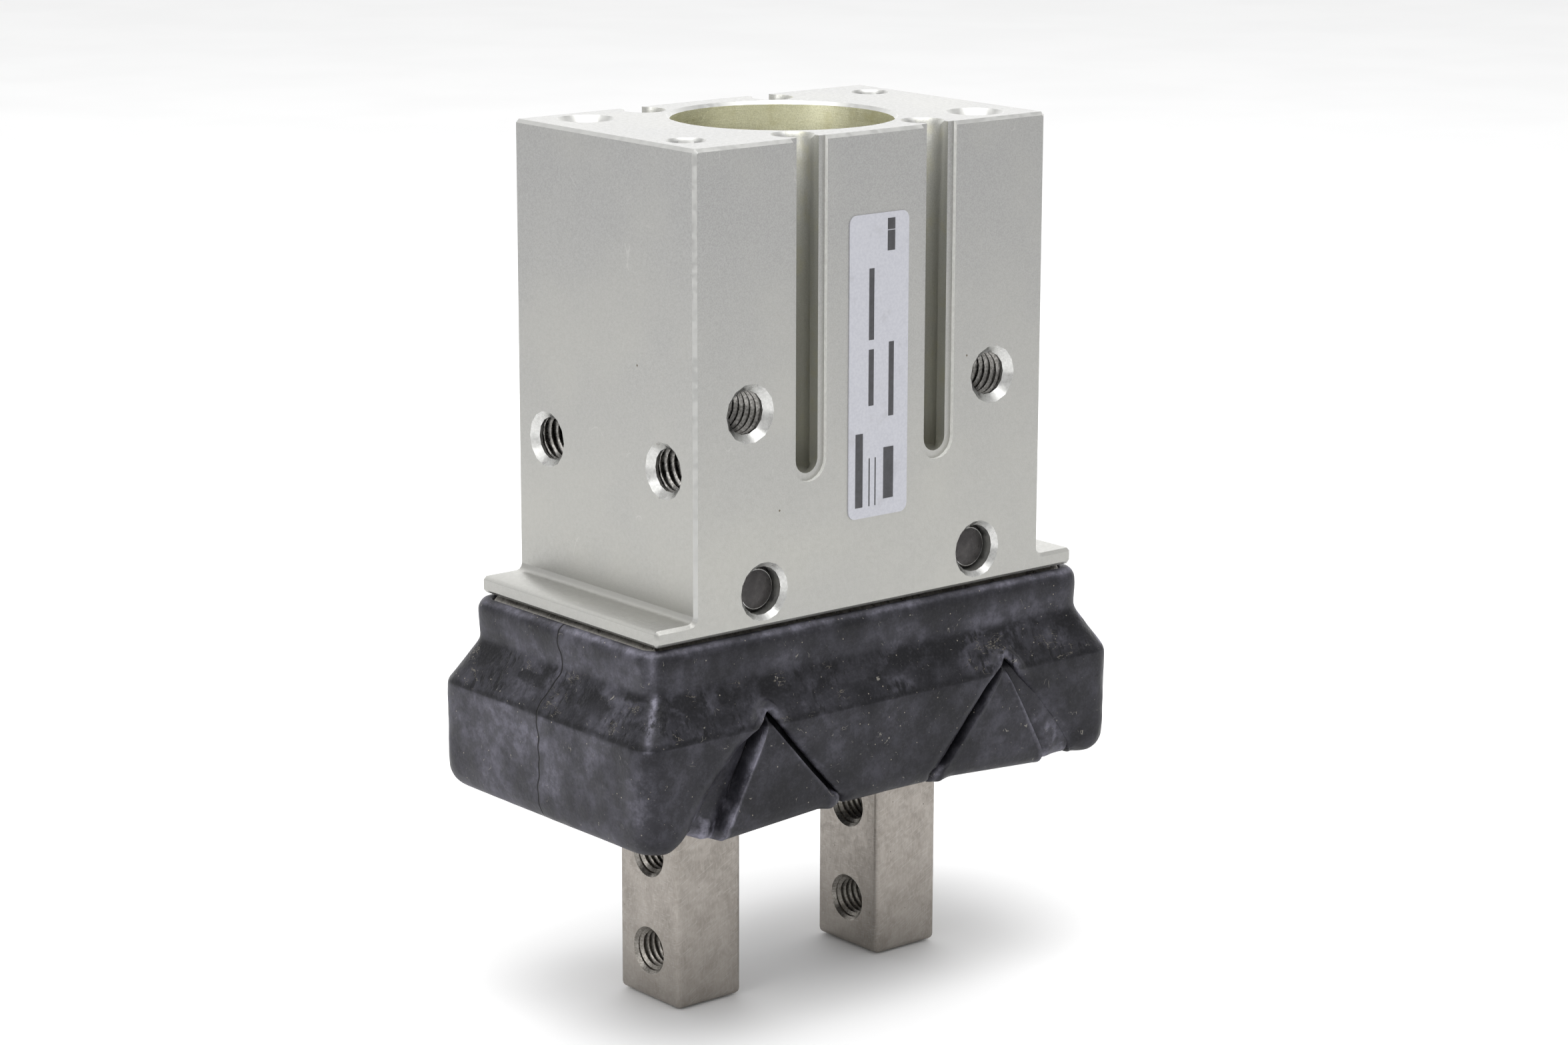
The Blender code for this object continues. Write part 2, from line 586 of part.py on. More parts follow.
for i, (sx, sy) in enumerate(((-1, -1), (1, -1), (1, 1), (-1, 1)), 1):
    x, y = sx * SCREW_X, sy * SCREW_Y
    cut(
        guide,
        rod(f"cut_screw_way_{i}", 1.8, (x, y, from_flange(-5)), 14, segments=14),
        rod(f"cut_screw_head_{i}", 2.8, (x, y, from_flange(-10.5)), 6.0, segments=14),
    )
    bolt = turned(
        f"guide_screw_{i}",
        [(0, 7.0), (1.2, 7.0), (1.5, 6.7), (1.5, -7.8), (2.5, -7.8), (2.5, -10.6), (2.3, -10.8), (0, -10.8)],
        steps=12, collection=parts, mat=BLACK_STEEL, at=(x, y, from_flange(0)),
    )
    cut(bolt, rod(f"cut_bolt_hex_{i}", 1.4, (x, y, from_flange(-10.6)), 2.4, segments=6))

for side, name in ((-1, "left"), (1, "right")):
    for sy, place in ((-1, "front"), (1, "rear")):
        z = from_flange(BALL_H)
        strip = box(
            f"ball_strip_{name}_{place}",
            (min(side * 5.5, side * 29.5), min(sy * 7.75, sy * 8.65), z - 1.9),
            (max(side * 5.5, side * 29.5), max(sy * 7.75, sy * 8.65), z + 1.9),
            parts, BRIGHT_STEEL,
        )
        for k in range(5):
            bm = bmesh.new()
            bmesh.ops.create_uvsphere(bm, u_segments=8, v_segments=5, radius=BALL_R * MM)
            ball = from_bmesh(f"ball_{name}_{place}_{k}", bm, tools)
            ball.location = (side * (8.5 + 4.5 * k) * MM, sy * BALL_Y * MM, z * MM)
            join(strip, ball)


# --- fingers --------------------------------------------------------------------------
def finger(name, side):
    centre = side * (FINGER_IN + FINGER_OUT) / 2
    half = (FINGER_OUT - FINGER_IN) / 2
    slider = box(
        name, (centre - CARRIAGE_HX, -CARRIAGE_HY, from_flange(CARRIAGE_BOTTOM)),
        (centre + CARRIAGE_HX, CARRIAGE_HY, from_flange(CARRIAGE_TOP)), parts, STEEL,
    )
    bevel(slider, 0.4)
    bar = box(
        name + "_bar", (centre - half, -FINGER_HY, from_flange(FINGER_TIP)),
        (centre + half, FINGER_HY, from_flange(CARRIAGE_BOTTOM + 2.0)),
    )
    bevel(bar, 0.5)
    join(slider, bar)
    pocket = centre + side * (PIVOT_X - REST_OFFSET - (FINGER_IN + FINGER_OUT) / 2)
    cut(slider, box(
        "cut_" + name + "_pocket", (pocket - POCKET_HX, -POCKET_HY, from_flange(-8.6)),
        (pocket + POCKET_HX, POCKET_HY, from_flange(0)),
    ))
    for sy in (-1, 1):
        cut(slider, rod(f"cut_{name}_groove_{sy}", GROOVE_R, (centre, sy * BALL_Y, from_flange(BALL_H)), 30, "X", segments=16))
    for k, h in enumerate(FINGER_HOLES):
        mouth = (centre - half, 0, from_flange(h))
        cut(slider, hole(f"cut_{name}_thread_{k}", mouth, (-1, 0, 0), 2 * half, FINGER_HOLE_R, 2.9, True))
    return slider


def collar(name, side):
    centre = side * (FINGER_IN + FINGER_OUT) / 2
    hx, hy = (FINGER_OUT - FINGER_IN) / 2 + 0.3, FINGER_HY + 0.3
    lip = box(
        name, (centre - hx - COLLAR_WALL, -hy - COLLAR_WALL, from_flange(COLLAR_BOTTOM)),
        (centre + hx + COLLAR_WALL, hy + COLLAR_WALL, from_flange(COLLAR_TOP)), parts, RUBBER,
    )
    bevel(lip, 0.7)
    cut(lip, box("cut_" + name, (centre - hx, -hy, from_flange(-40)), (centre + hx, hy, from_flange(-10))))
    return lip


for side, name in ((-1, "left"), (1, "right")):
    finger("finger_" + name, side)
    collar("cover_collar_" + name, side)


# --- dust cover -----------------------------------------------------------------------
cover = loft("dust_cover", COVER_OUTER, parts, RUBBER)
cut(cover, loft("cut_cover_inside", COVER_INNER, tools))
for side in (-1, 1):
    x0, x1 = sorted((side * COVER_WINDOW[0], side * COVER_WINDOW[1]))
    cut(cover, box(f"cut_cover_window_{side}", (x0, -COVER_WINDOW[2], from_flange(-30)), (x1, COVER_WINDOW[2], from_flange(-15))))

for obj in parts.objects:
    if obj.name not in ("dust_cover",):
        smooth(obj)
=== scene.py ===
"""Looks of the parallel gripper: materials, threads, label, fingers and the rubber dust cover, built
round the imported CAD. Lengths below are millimetres. Heights in the dust cover and the fingers are
counted from the underside of the body's flange, up."""
import math

import bmesh
import bpy
import numpy as np
from mathutils import Matrix, Vector, noise


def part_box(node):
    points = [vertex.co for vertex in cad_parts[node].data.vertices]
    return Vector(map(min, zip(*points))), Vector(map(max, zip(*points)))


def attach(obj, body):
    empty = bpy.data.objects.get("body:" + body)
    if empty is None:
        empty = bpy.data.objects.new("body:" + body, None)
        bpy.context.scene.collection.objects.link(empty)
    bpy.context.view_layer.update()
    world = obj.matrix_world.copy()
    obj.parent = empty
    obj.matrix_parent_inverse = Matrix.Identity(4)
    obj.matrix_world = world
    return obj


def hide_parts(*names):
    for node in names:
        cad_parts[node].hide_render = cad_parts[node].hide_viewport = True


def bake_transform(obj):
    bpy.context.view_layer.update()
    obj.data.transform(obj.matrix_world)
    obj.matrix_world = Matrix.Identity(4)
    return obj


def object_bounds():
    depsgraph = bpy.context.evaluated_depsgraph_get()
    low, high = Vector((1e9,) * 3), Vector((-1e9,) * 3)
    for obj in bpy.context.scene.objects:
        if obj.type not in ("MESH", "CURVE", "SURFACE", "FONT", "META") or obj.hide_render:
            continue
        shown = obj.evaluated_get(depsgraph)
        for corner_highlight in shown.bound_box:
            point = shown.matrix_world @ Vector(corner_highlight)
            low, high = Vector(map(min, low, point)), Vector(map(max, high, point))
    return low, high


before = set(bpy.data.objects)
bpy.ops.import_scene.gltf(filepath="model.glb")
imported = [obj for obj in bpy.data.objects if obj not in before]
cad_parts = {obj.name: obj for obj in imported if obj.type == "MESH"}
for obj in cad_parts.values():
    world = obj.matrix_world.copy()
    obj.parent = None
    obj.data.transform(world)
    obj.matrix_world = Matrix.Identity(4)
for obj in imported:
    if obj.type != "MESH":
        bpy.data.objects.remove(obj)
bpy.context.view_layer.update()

MM = 0.001
FLANGE_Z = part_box("body")[0].z / MM
BODY_HX, BODY_HY = 26.0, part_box("body")[1].y / MM


def up(height):
    """Height above the flange's underside -> z in the frame."""
    return height + FLANGE_Z


def add_node(tree, kind, inputs=(), **props):
    """A new node; each input is a value, or a socket that is linked to it."""
    n = tree.nodes.new(kind)
    for key, value in props.items():
        setattr(n, key, value)
    for key, value in dict(inputs).items():
        if isinstance(value, bpy.types.NodeSocket):
            tree.links.new(value, n.inputs[key])
        else:
            n.inputs[key].default_value = value
    return n


# --- materials ---
class Look:
    """A material and short ways to add nodes to it. Texture sizes are in millimetres."""

    def __init__(self, name, roughness=0.5, metallic=0.0, **more):
        self.mat = bpy.data.materials.new(name)
        self.mat.use_nodes = True
        self.tree = self.mat.node_tree
        self.bsdf = self.tree.nodes["Principled BSDF"]
        self.bsdf.inputs["Metallic"].default_value = metallic
        self.bsdf.inputs["Roughness"].default_value = roughness
        for key, value in more.items():
            self.bsdf.inputs[key.replace("_", " ")].default_value = value
        coord = self.tree.nodes.new("ShaderNodeTexCoord").outputs["Object"]
        to_mm = {0: coord, "Scale": 1 / MM}
        self.at = self.node("ShaderNodeVectorMath", to_mm, operation="SCALE").outputs[0]

    def node(self, kind, inputs=(), **props):
        return add_node(self.tree, kind, inputs, **props)

    def stretched(self, along):
        return self.node("ShaderNodeVectorMath", {0: self.at, 1: along}, operation="MULTIPLY").outputs[0]

    def noise(self, size, detail=3.0, along=None, distortion=0.0, rough=0.55):
        """Noise of a feature size; along squeezes it, one factor an axis."""
        inputs = {
            "Vector": self.stretched(along) if along else self.at, "Scale": 1 / size, "Detail": detail,
            "Distortion": distortion, "Roughness": rough,
        }
        return self.node("ShaderNodeTexNoise", inputs).outputs["Fac"]

    def line(self, field, wide, thin):
        """Thin lines, where a noise field passes its middle."""
        return self.span(self.calc("ABSOLUTE", self.calc("SUBTRACT", field, 0.5)), wide, thin)

    def cells(self, size):
        """Distance from the middle of the nearest of many scattered cells."""
        cell = self.node("ShaderNodeTexVoronoi", {"Vector": self.at, "Scale": 1 / size}, feature="F1")
        return cell.outputs["Distance"]

    def span(self, value, low, high, to_low=0.0, to_high=1.0):
        """value eased from low..high to to_low..to_high."""
        limits = {0: value, 1: low, 2: high, 3: to_low, 4: to_high}
        return self.node("ShaderNodeMapRange", limits, interpolation_type="SMOOTHSTEP").outputs[0]

    def calc(self, operation, *values):
        return self.node("ShaderNodeMath", dict(enumerate(values)), operation=operation).outputs[0]

    def axis(self, name):
        return self.node("ShaderNodeSeparateXYZ", {0: self.at}).outputs[name]

    def mix(self, share, a, b, mode="MIX"):
        def colour(c):
            return (*c, 1.0) if isinstance(c, tuple) else c

        n = self.tree.nodes.new("ShaderNodeMix")
        n.data_type, n.blend_type = "RGBA", mode
        for socket, value in ((n.inputs[0], share), (n.inputs[6], colour(a)), (n.inputs[7], colour(b))):
            if isinstance(value, bpy.types.NodeSocket):
                self.tree.links.new(value, socket)
            else:
                socket.default_value = value
        return n.outputs[2]

    def colour(self, socket):
        self.tree.links.new(socket, self.bsdf.inputs["Base Color"])

    def rough(self, socket):
        self.tree.links.new(socket, self.bsdf.inputs["Roughness"])

    def bump(self, *layers):
        """Each layer is (height socket, depth in mm); later ones lie on the earlier ones."""
        normal = None
        for height, depth in layers:
            inputs = {"Height": height, "Distance": depth * MM, "Strength": 1.0}
            if normal:
                inputs["Normal"] = normal
            normal = self.node("ShaderNodeBump", inputs).outputs[0]
        self.tree.links.new(normal, self.bsdf.inputs["Normal"])


def anodised(name, dark, light, warm_tone_and_painted_glow, roughness=0.42, specks=True, stain=0.0, lathe=0.0):
    """Bead-blasted, anodised aluminium: fine grain, a warm tint in random patches and a painted glow that is warmer and
    lighter towards the bottom, standing in for light from the floor, a few specks and scratches.
    stain is the share of olive blots, lathe the depth of turning rings in mm."""
    m = Look(name, metallic=0.85)
    grain = m.noise(0.16, 2)
    tone = m.span(m.noise(14.0, 2), 0.35, 0.75, 0.0, 0.35)
    base = m.mix(m.span(grain, 0.32, 0.68), dark, light)
    # painted light: the flange end is warmer and lighter, for light thrown up from the floor, added to a random warm
    # tone
    base = m.mix(m.calc("ADD", tone, m.span(m.axis("Z"), 0.0, FLANGE_Z, 0.0, 0.65)), base, warm_tone_and_painted_glow)
    if stain:
        blot = m.calc("MULTIPLY", m.span(m.noise(2.2, 4), 0.5, 0.72), stain)
        base = m.mix(blot, base, (0.50, 0.46, 0.22))
    if specks:
        dot = m.span(m.cells(5.5), 0.030, 0.018)
        chosen = m.span(m.noise(9.0, 1), 0.52, 0.56)
        base = m.mix(m.calc("MULTIPLY", dot, chosen), base, (0.16, 0.14, 0.11))
        scratch = m.line(m.noise(11.0, 2, (1, 1, 0.5)), 0.0022, 0.0006)
        scratch = m.calc("MULTIPLY", scratch, m.span(m.noise(3.5, 1), 0.62, 0.68, 0.0, 0.15))
        base = m.mix(scratch, base, (0.78, 0.78, 0.75))
    m.colour(base)
    m.rough(m.span(m.noise(0.5, 2), 0.3, 0.7, roughness - 0.05, roughness + 0.06))
    rings = m.noise(0.07, 1, (0.02, 0.02, 1))
    m.bump((grain, 0.012), (m.noise(0.45, 2), 0.010), (rings, lathe))
    return m.mat


def machined(name, dark, light, size=0.22, roughness=0.26, along=(1, 1, 1), metallic=1.0, depth=0.004):
    """Metal with tool marks."""
    m = Look(name, metallic=metallic)
    marks = m.noise(size, 3, along)
    m.colour(m.mix(m.span(marks, 0.3, 0.7), dark, light))
    m.rough(m.span(m.noise(0.8, 2), 0.3, 0.7, roughness - 0.06, roughness + 0.1))
    m.bump((marks, depth))
    return m.mat


GRIND_ANGLE = math.radians(28)


def finger_steel():
    """Ground and hardened steel with blotches, fine scratches and small pits."""
    m = Look("finger_steel", metallic=1.0)
    blotch = m.noise(3.0, 4)
    fine = m.noise(0.22, 3, (1, 1, 0.35))
    base = m.mix(m.span(blotch, 0.3, 0.7), (0.280, 0.255, 0.228), (0.350, 0.322, 0.292))
    base = m.mix(m.span(fine, 0.35, 0.72, 0.0, 0.35), base, (0.43, 0.405, 0.375))
    # slanting grinding marks
    slant = m.node("ShaderNodeVectorRotate", {0: m.at, "Angle": GRIND_ANGLE}, rotation_type="Y_AXIS").outputs[0]
    drawn = m.node("ShaderNodeVectorMath", {0: slant, 1: (0.5, 1.0, 5.0)}, operation="MULTIPLY").outputs[0]
    marks = m.node("ShaderNodeTexNoise", {"Vector": drawn, "Scale": 1.3, "Detail": 4.0}).outputs["Fac"]
    base = m.mix(m.span(marks, 0.52, 0.7, 0.0, 0.4), base, (0.45, 0.425, 0.40))
    pit = m.calc("MULTIPLY", m.span(m.cells(0.9), 0.10, 0.05), m.span(m.noise(1.6, 2), 0.5, 0.6, 0.0, 0.75))
    base = m.mix(pit, base, (0.08, 0.065, 0.05))
    m.colour(base)
    m.rough(m.span(m.noise(0.6, 3), 0.3, 0.7, 0.34, 0.52))
    m.bump((fine, 0.010), (m.calc("MULTIPLY", pit, -1.0), 0.02))
    return m.mat


def black_oxide():
    """Blackened steel, slightly rubbed."""
    m = Look("black_oxide", metallic=0.75)
    wear = m.noise(1.1, 4)
    m.colour(m.mix(m.span(wear, 0.35, 0.75), (0.046, 0.043, 0.043), (0.066, 0.062, 0.061)))
    m.rough(m.span(m.noise(0.4, 2), 0.3, 0.7, 0.26, 0.42))
    m.bump((m.noise(0.3, 2), 0.006))
    return m.mat


# the cover's sloping flare, and the heights between which its wall gets darker
FLARE_TOP, FLARE_BOTTOM = up(-5.4), up(-10.3)
WALL_PALE, WALL_DARK = up(-17.0), up(-23.0)


def bloomed_rubber():
    """Old moulded rubber: patchy grey bloom over black, a dark streaked flare, splits, dust and fibres. The attribute
    "wear" adds bloom where the shape is rubbed, adds painted highlights on the lip's edge and the flare's corners, and
    paints shade in the folds and below the lip."""
    m = Look("cover_rubber", Specular_IOR_Level=0.20)
    x, y, z = m.axis("X"), m.axis("Y"), m.axis("Z")

    def times(*values):
        product = values[0]
        for value in values[1:]:
            product = m.calc("MULTIPLY", product, value)
        return product

    big = m.span(m.noise(8.0, 2), 0.36, 0.64)
    blot = m.span(m.noise(2.4, 5, rough=0.7), 0.40, 0.70)
    fine = m.noise(0.35, 3)
    above_bottom = m.span(z, FLARE_BOTTOM - 0.15, FLARE_BOTTOM + 0.25)
    in_flare = times(above_bottom, m.span(z, FLARE_TOP + 0.5, FLARE_TOP - 0.4))
    # the "wear" attribute holds rubbing together with painted highlights and painted shade
    wear = m.node("ShaderNodeAttribute", attribute_name="wear").outputs["Fac"]
    level = m.calc("ADD", m.span(z, WALL_PALE, WALL_DARK, 0.135, 0.095), wear)
    patches = (m.calc("MULTIPLY_ADD", big, 0.85, 0.40), m.calc("MULTIPLY_ADD", blot, 1.05, 0.50))
    scuff = m.span(m.noise(1.3, 6, (1, 1, 1.5), rough=0.72), 0.50, 0.66)
    scuffs = times(scuff, m.span(wear, 0.12, 0.30, 0.0, 0.16))
    bloom = m.calc("ADD", times(level, *patches), scuffs)
    # the flare: dark smears, strongest along its upper side where it meets the neck, there partly dirt and partly
    # painted shade in the corner, and fine streaks that run down it
    smear_and_corner_shade = m.span(m.noise(3.4, 4, (0.7, 0.7, 1.0), rough=0.62), 0.44, 0.56)
    smear_and_corner_shade = times(smear_and_corner_shade, m.span(z, FLARE_BOTTOM, FLARE_TOP - 1.2, 0.25, 1.0))
    streak = times(m.span(m.noise(0.8, 4, (1, 1, 0.2)), 0.46, 0.64), m.span(m.noise(7.0, 2), 0.40, 0.56))
    dark = times(m.calc("MAXIMUM", smear_and_corner_shade, streak), in_flare)
    bloom = times(bloom, m.calc("MULTIPLY_ADD", dark, -0.9, 1.0))
    # the line under the flare
    from_below = m.span(z, FLARE_BOTTOM - 0.35, FLARE_BOTTOM - 0.1)
    from_above = m.span(z, FLARE_BOTTOM + 0.7, FLARE_BOTTOM + 0.1)
    ridge = times(from_below, from_above, m.span(m.noise(1.5, 3), 0.3, 0.6, 0.3, 0.85))
    bloom = times(bloom, m.calc("SUBTRACT", 1.0, ridge))
    base = m.mix(bloom, (0.0040, 0.0040, 0.0055), (0.205, 0.200, 0.245))
    base = m.mix(m.span(fine, 0.45, 0.72, 0.0, 0.05), base, (0.16, 0.155, 0.175))
    # frayed splits in the flare
    tear = times(m.line(m.noise(1.5, 4, (0.5, 0.5, 1.7)), 0.012, 0.003), in_flare, m.span(m.noise(4.2, 1), 0.60, 0.64))
    base = m.mix(times(tear, 0.7), base, (0.17, 0.155, 0.13))
    # one thin split down the left end face
    wander = times(m.calc("SUBTRACT", m.noise(7.0, 2, (0.001, 0.001, 1)), 0.5), 4.2)
    off = m.calc("ABSOLUTE", m.calc("ADD", y, wander))
    split = times(m.span(off, 0.17, 0.06), m.span(x, -31.0, -31.8))
    base = m.mix(times(split, 0.9), base, (0.003, 0.003, 0.003))
    # specks of dust in two sizes, and fibres
    dust = times(m.span(m.cells(1.15), 0.085, 0.045), m.span(m.noise(2.6, 2), 0.45, 0.58, 0.0, 0.8))
    powder = times(m.span(m.cells(0.62), 0.085, 0.05), m.span(m.noise(0.9, 1), 0.50, 0.62, 0.0, 0.5))
    base = m.mix(m.calc("MAXIMUM", dust, powder), base, (0.32, 0.29, 0.24))
    fibre = m.line(m.noise(2.4, 2, distortion=0.8), 0.0075, 0.002)
    fibre = times(fibre, m.span(m.noise(1.3, 1), 0.66, 0.71, 0.0, 0.5))
    m.colour(m.mix(fibre, base, (0.33, 0.31, 0.27)))
    m.rough(m.calc("ADD", m.span(m.noise(2.4, 4), 0.3, 0.7, 0.32, 0.52), times(bloom, 0.3)))
    m.bump((m.noise(3.2, 3), 0.12), (fine, 0.020), (dark, -0.03), (times(split, -1.0), 0.12), (times(tear, -1.0), 0.06))
    return m.mat


def label_foil():
    """Silvery sticker, rubbed in places and slightly wavy."""
    m = Look("label_foil", metallic=0.15, roughness=0.36)
    grain = m.noise(0.3, 3)
    base = m.mix(m.span(grain, 0.3, 0.7), (0.45, 0.455, 0.50), (0.50, 0.505, 0.545))
    rub = m.calc("MULTIPLY", m.span(m.noise(2.0, 4), 0.58, 0.75), 0.35)
    m.colour(m.mix(rub, base, (0.36, 0.36, 0.38)))
    m.rough(m.span(m.noise(1.2, 3), 0.3, 0.7, 0.30, 0.46))
    m.bump((m.noise(5.0, 2), 0.05), (grain, 0.004))
    return m.mat


def plain(name, colour, roughness, metallic=0.0, size=0.5):
    """One colour with a fine mottle."""
    m = Look(name, metallic=metallic)
    mottle = m.noise(size, 3)
    dark, light = (tuple(min(1.0, c * shade) for c in colour) for shade in (0.8, 1.15))
    m.colour(m.mix(m.span(mottle, 0.3, 0.7), dark, light))
    m.rough(m.span(m.noise(size * 2, 2), 0.3, 0.7, roughness - 0.08, roughness + 0.08))
    m.bump((mottle, 0.01))
    return m.mat


BODY = anodised("anodised_aluminium", (0.345, 0.344, 0.338), (0.412, 0.411, 0.404), (0.442, 0.438, 0.410))
BORE = anodised("bore_wall", (0.66, 0.65, 0.47), (0.80, 0.79, 0.60), (0.74, 0.72, 0.50), 0.34, False, 0.35, 0.012)
SLOT = anodised("slot_wall", (0.42, 0.42, 0.395), (0.50, 0.50, 0.475), (0.45, 0.445, 0.39), 0.45, False, 0.2)
EDGE = machined("edge", (0.50, 0.50, 0.485), (0.53, 0.53, 0.515), 0.8, 0.42, depth=0.001)
SLOT_LIP = machined("slot_lip", (0.66, 0.66, 0.63), (0.76, 0.76, 0.73), 0.5, 0.45, metallic=0.2, depth=0.001)
BRIGHT_CUT = machined("bright_cut_edge", (0.52, 0.52, 0.505), (0.62, 0.62, 0.605), 0.3, 0.30)
THREAD = machined("cut_thread", (0.15, 0.145, 0.135), (0.34, 0.33, 0.315), 0.25, 0.22)
# painted shade: the side holes' walls between the thread's ridges are near black, for the shade deep inside the holes
THREAD_ROOT_SHADE = machined("thread_root_painted_shade", (0.035, 0.033, 0.030), (0.085, 0.080, 0.073), 0.3, 0.4)
TURNED = machined("turned_aluminium", (0.55, 0.55, 0.52), (0.70, 0.69, 0.66), 0.3, 0.3)
GROUND = machined("ground_steel", (0.36, 0.345, 0.32), (0.50, 0.48, 0.45), 0.35, 0.32, (1, 1, 0.3))
POLISHED = machined("polished_steel", (0.56, 0.56, 0.56), (0.68, 0.68, 0.68), 0.4, 0.16)
FINGER_THREAD = machined("finger_thread", (0.20, 0.185, 0.165), (0.38, 0.36, 0.33), 0.25, 0.36)
FINGER = finger_steel()
BLACK = black_oxide()
RUBBER = bloomed_rubber()
FOIL = label_foil()
PRINT = plain("label_print", (0.045, 0.045, 0.05), 0.5)
SEAL = plain("seal_rubber", (0.022, 0.022, 0.024), 0.55)
URETHANE = plain("urethane", (0.60, 0.38, 0.10), 0.45)
MAGNET = plain("magnet", (0.10, 0.095, 0.095), 0.5, 0.4)

NODE_LOOKS = {
    "head_cap": TURNED, "cap_o_ring": SEAL, "retaining_ring": BLACK, "bumper_top": URETHANE, "bumper_bottom": URETHANE,
    "rod_seal": SEAL, "piston": TURNED, "piston_seal": SEAL, "magnet_ring": MAGNET, "piston_screw": BLACK,
    "piston_rod": GROUND, "yoke_pin_left": POLISHED, "yoke_pin_right": POLISHED, "lever_left": GROUND,
    "lever_right": GROUND, "lever_shaft_left": BLACK, "lever_shaft_right": BLACK, "guide_rail": GROUND,
    "guide_dowel_front": POLISHED, "guide_dowel_rear": POLISHED,
}
for name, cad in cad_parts.items():
    look = NODE_LOOKS.get(name)
    if name.startswith("guide_screw"):
        look = BLACK
    if name.startswith("ball_strip"):
        look = POLISHED
    if look:
        cad.data.materials.clear()
        cad.data.materials.append(look)


# --- mesh helpers ---
def shown(name, mesh, *looks):
    """A new object of the scene, with its materials in order."""
    obj = bpy.data.objects.new(name, mesh)
    bpy.context.scene.collection.objects.link(obj)
    mesh.materials.clear()
    for look in looks:
        mesh.materials.append(look)
    return obj


def smooth(mesh, angle=32):
    """The mesh, shaded smooth except at edges sharper than the angle."""
    mesh.shade_smooth()
    mesh.set_sharp_from_angle(angle=math.radians(angle))
    return mesh


def mesh_of(points, faces, name="mesh"):
    """A mesh from points in millimetres, with its faces turned outwards."""
    mesh = bpy.data.meshes.new(name)
    mesh.from_pydata([(x * MM, y * MM, z * MM) for x, y, z in points], [], [tuple(int(i) for i in f) for f in faces])
    bm = bmesh.new()
    bm.from_mesh(mesh)
    bmesh.ops.recalc_face_normals(bm, faces=bm.faces)
    bm.to_mesh(mesh)
    bm.free()
    return mesh


def finished(bm, name):
    """A mesh from a bmesh, which is freed."""
    mesh = bpy.data.meshes.new(name)
    bm.to_mesh(mesh)
    bm.free()
    return mesh


def copy_of(node):
    """A CAD node's mesh with its split points joined and its flat faces whole."""
    bm = bmesh.new()
    bm.from_mesh(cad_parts[node].data)
    bmesh.ops.remove_doubles(bm, verts=bm.verts, dist=2e-7)
    bmesh.ops.dissolve_limit(bm, angle_limit=math.radians(0.3), verts=bm.verts, edges=bm.edges)
    return finished(bm, node + "_shown")


def applied(obj):
    """The object's mesh with its modifiers applied; the object is removed."""
    bpy.context.view_layer.update()
    mesh = bpy.data.meshes.new_from_object(obj.evaluated_get(bpy.context.evaluated_depsgraph_get()))
    bpy.data.objects.remove(obj, do_unlink=True)
    return mesh


def cut_with(mesh, tools, operation="DIFFERENCE"):
    """mesh with each of the tool meshes cut from it, or joined to it."""
    obj = shown("work", mesh)
    helpers = [shown("tool", tool) for tool in tools]
    for helper in helpers:
        m = obj.modifiers.new("cut", "BOOLEAN")
        m.operation, m.solver, m.object = operation, "EXACT", helper
    result = applied(obj)
    for helper in helpers:
        bpy.data.objects.remove(helper, do_unlink=True)
    return result


def rounded(x0, x1, y0, y1, r, steps=6):
    """The outline of a rectangle with round corners."""
    outline = []
    for q, (cx, cy) in enumerate(((x1 - r, y1 - r), (x0 + r, y1 - r), (x0 + r, y0 + r), (x1 - r, y0 + r))):
        for i in range(steps + 1):
            a = math.pi / 2 * (q + i / steps)
            outline.append((cx + r * math.cos(a), cy + r * math.sin(a)))
    return outline


def plate_between(outline, y0, y1, name):
    """A solid between two Y planes, with an outline of (x, z)."""
    n = len(outline)
    points = [(x, y, z) for y in (y0, y1) for x, z in outline]
    faces = [tuple(range(n)), tuple(range(2 * n - 1, n - 1, -1))]
    faces += [(i, (i + 1) % n, n + (i + 1) % n, n + i) for i in range(n)]
    return mesh_of(points, faces, name)


def placed(at, outward):
    """Takes the origin to a point and +Z to the outward direction."""
    return Matrix.Translation([c * MM for c in at]) @ Vector(outward).to_track_quat("Z", "Y").to_matrix().to_4x4()


def drum(mouth, outward, start, end, r, segments=48):
    """A cylinder from start to end below a mouth, as a mesh."""
    bm = bmesh.new()
    size = dict(radius1=r * MM, radius2=r * MM, depth=(end - start) * MM)
    bmesh.ops.create_cone(bm, cap_ends=True, segments=segments, **size)
    middle = Matrix.Translation((0, 0, -(start + end) / 2 * MM))
    bmesh.ops.transform(bm, matrix=placed(mouth, outward) @ middle, verts=bm.verts)
    return finished(bm, "drum")


def turned(profile, at, axis, segments=48):
    """A closed mesh turned round an axis through a point; the profile is (radius, distance along the axis)."""
    points, faces, rings = [], [], []
    for r, s in profile:
        if r < 1e-6:
            rings.append([len(points)] * segments)
            points.append((0, 0, s))
        else:
            rings.append(list(range(len(points), len(points) + segments)))
            angles = [2 * math.pi * k / segments for k in range(segments)]
            points += [(r * math.cos(a), r * math.sin(a), s) for a in angles]
    for a, b in zip(rings, rings[1:]):
        for k in range(segments):
            j = (k + 1) % segments
            face = list(dict.fromkeys((a[k], a[j], b[j], b[k])))
            if len(face) > 2:
                faces.append(tuple(face))
    mesh = mesh_of(points, faces)
    mesh.transform(placed(at, axis))
    return mesh


def block(lo, hi, radius=0.0, segments=3):
    """A box between two corners, with round edges."""
    bm = bmesh.new()
    bmesh.ops.create_cube(bm, size=1.0)
    for v in bm.verts:
        v.co = [((l + h) / 2 + c * (h - l)) * MM for c, l, h in zip(v.co, lo, hi)]
    if radius:
        how = dict(offset=radius * MM, segments=segments, profile=0.5, affect="EDGES")
        bmesh.ops.bevel(bm, geom=bm.edges[:], **how)
    return finished(bm, "block")


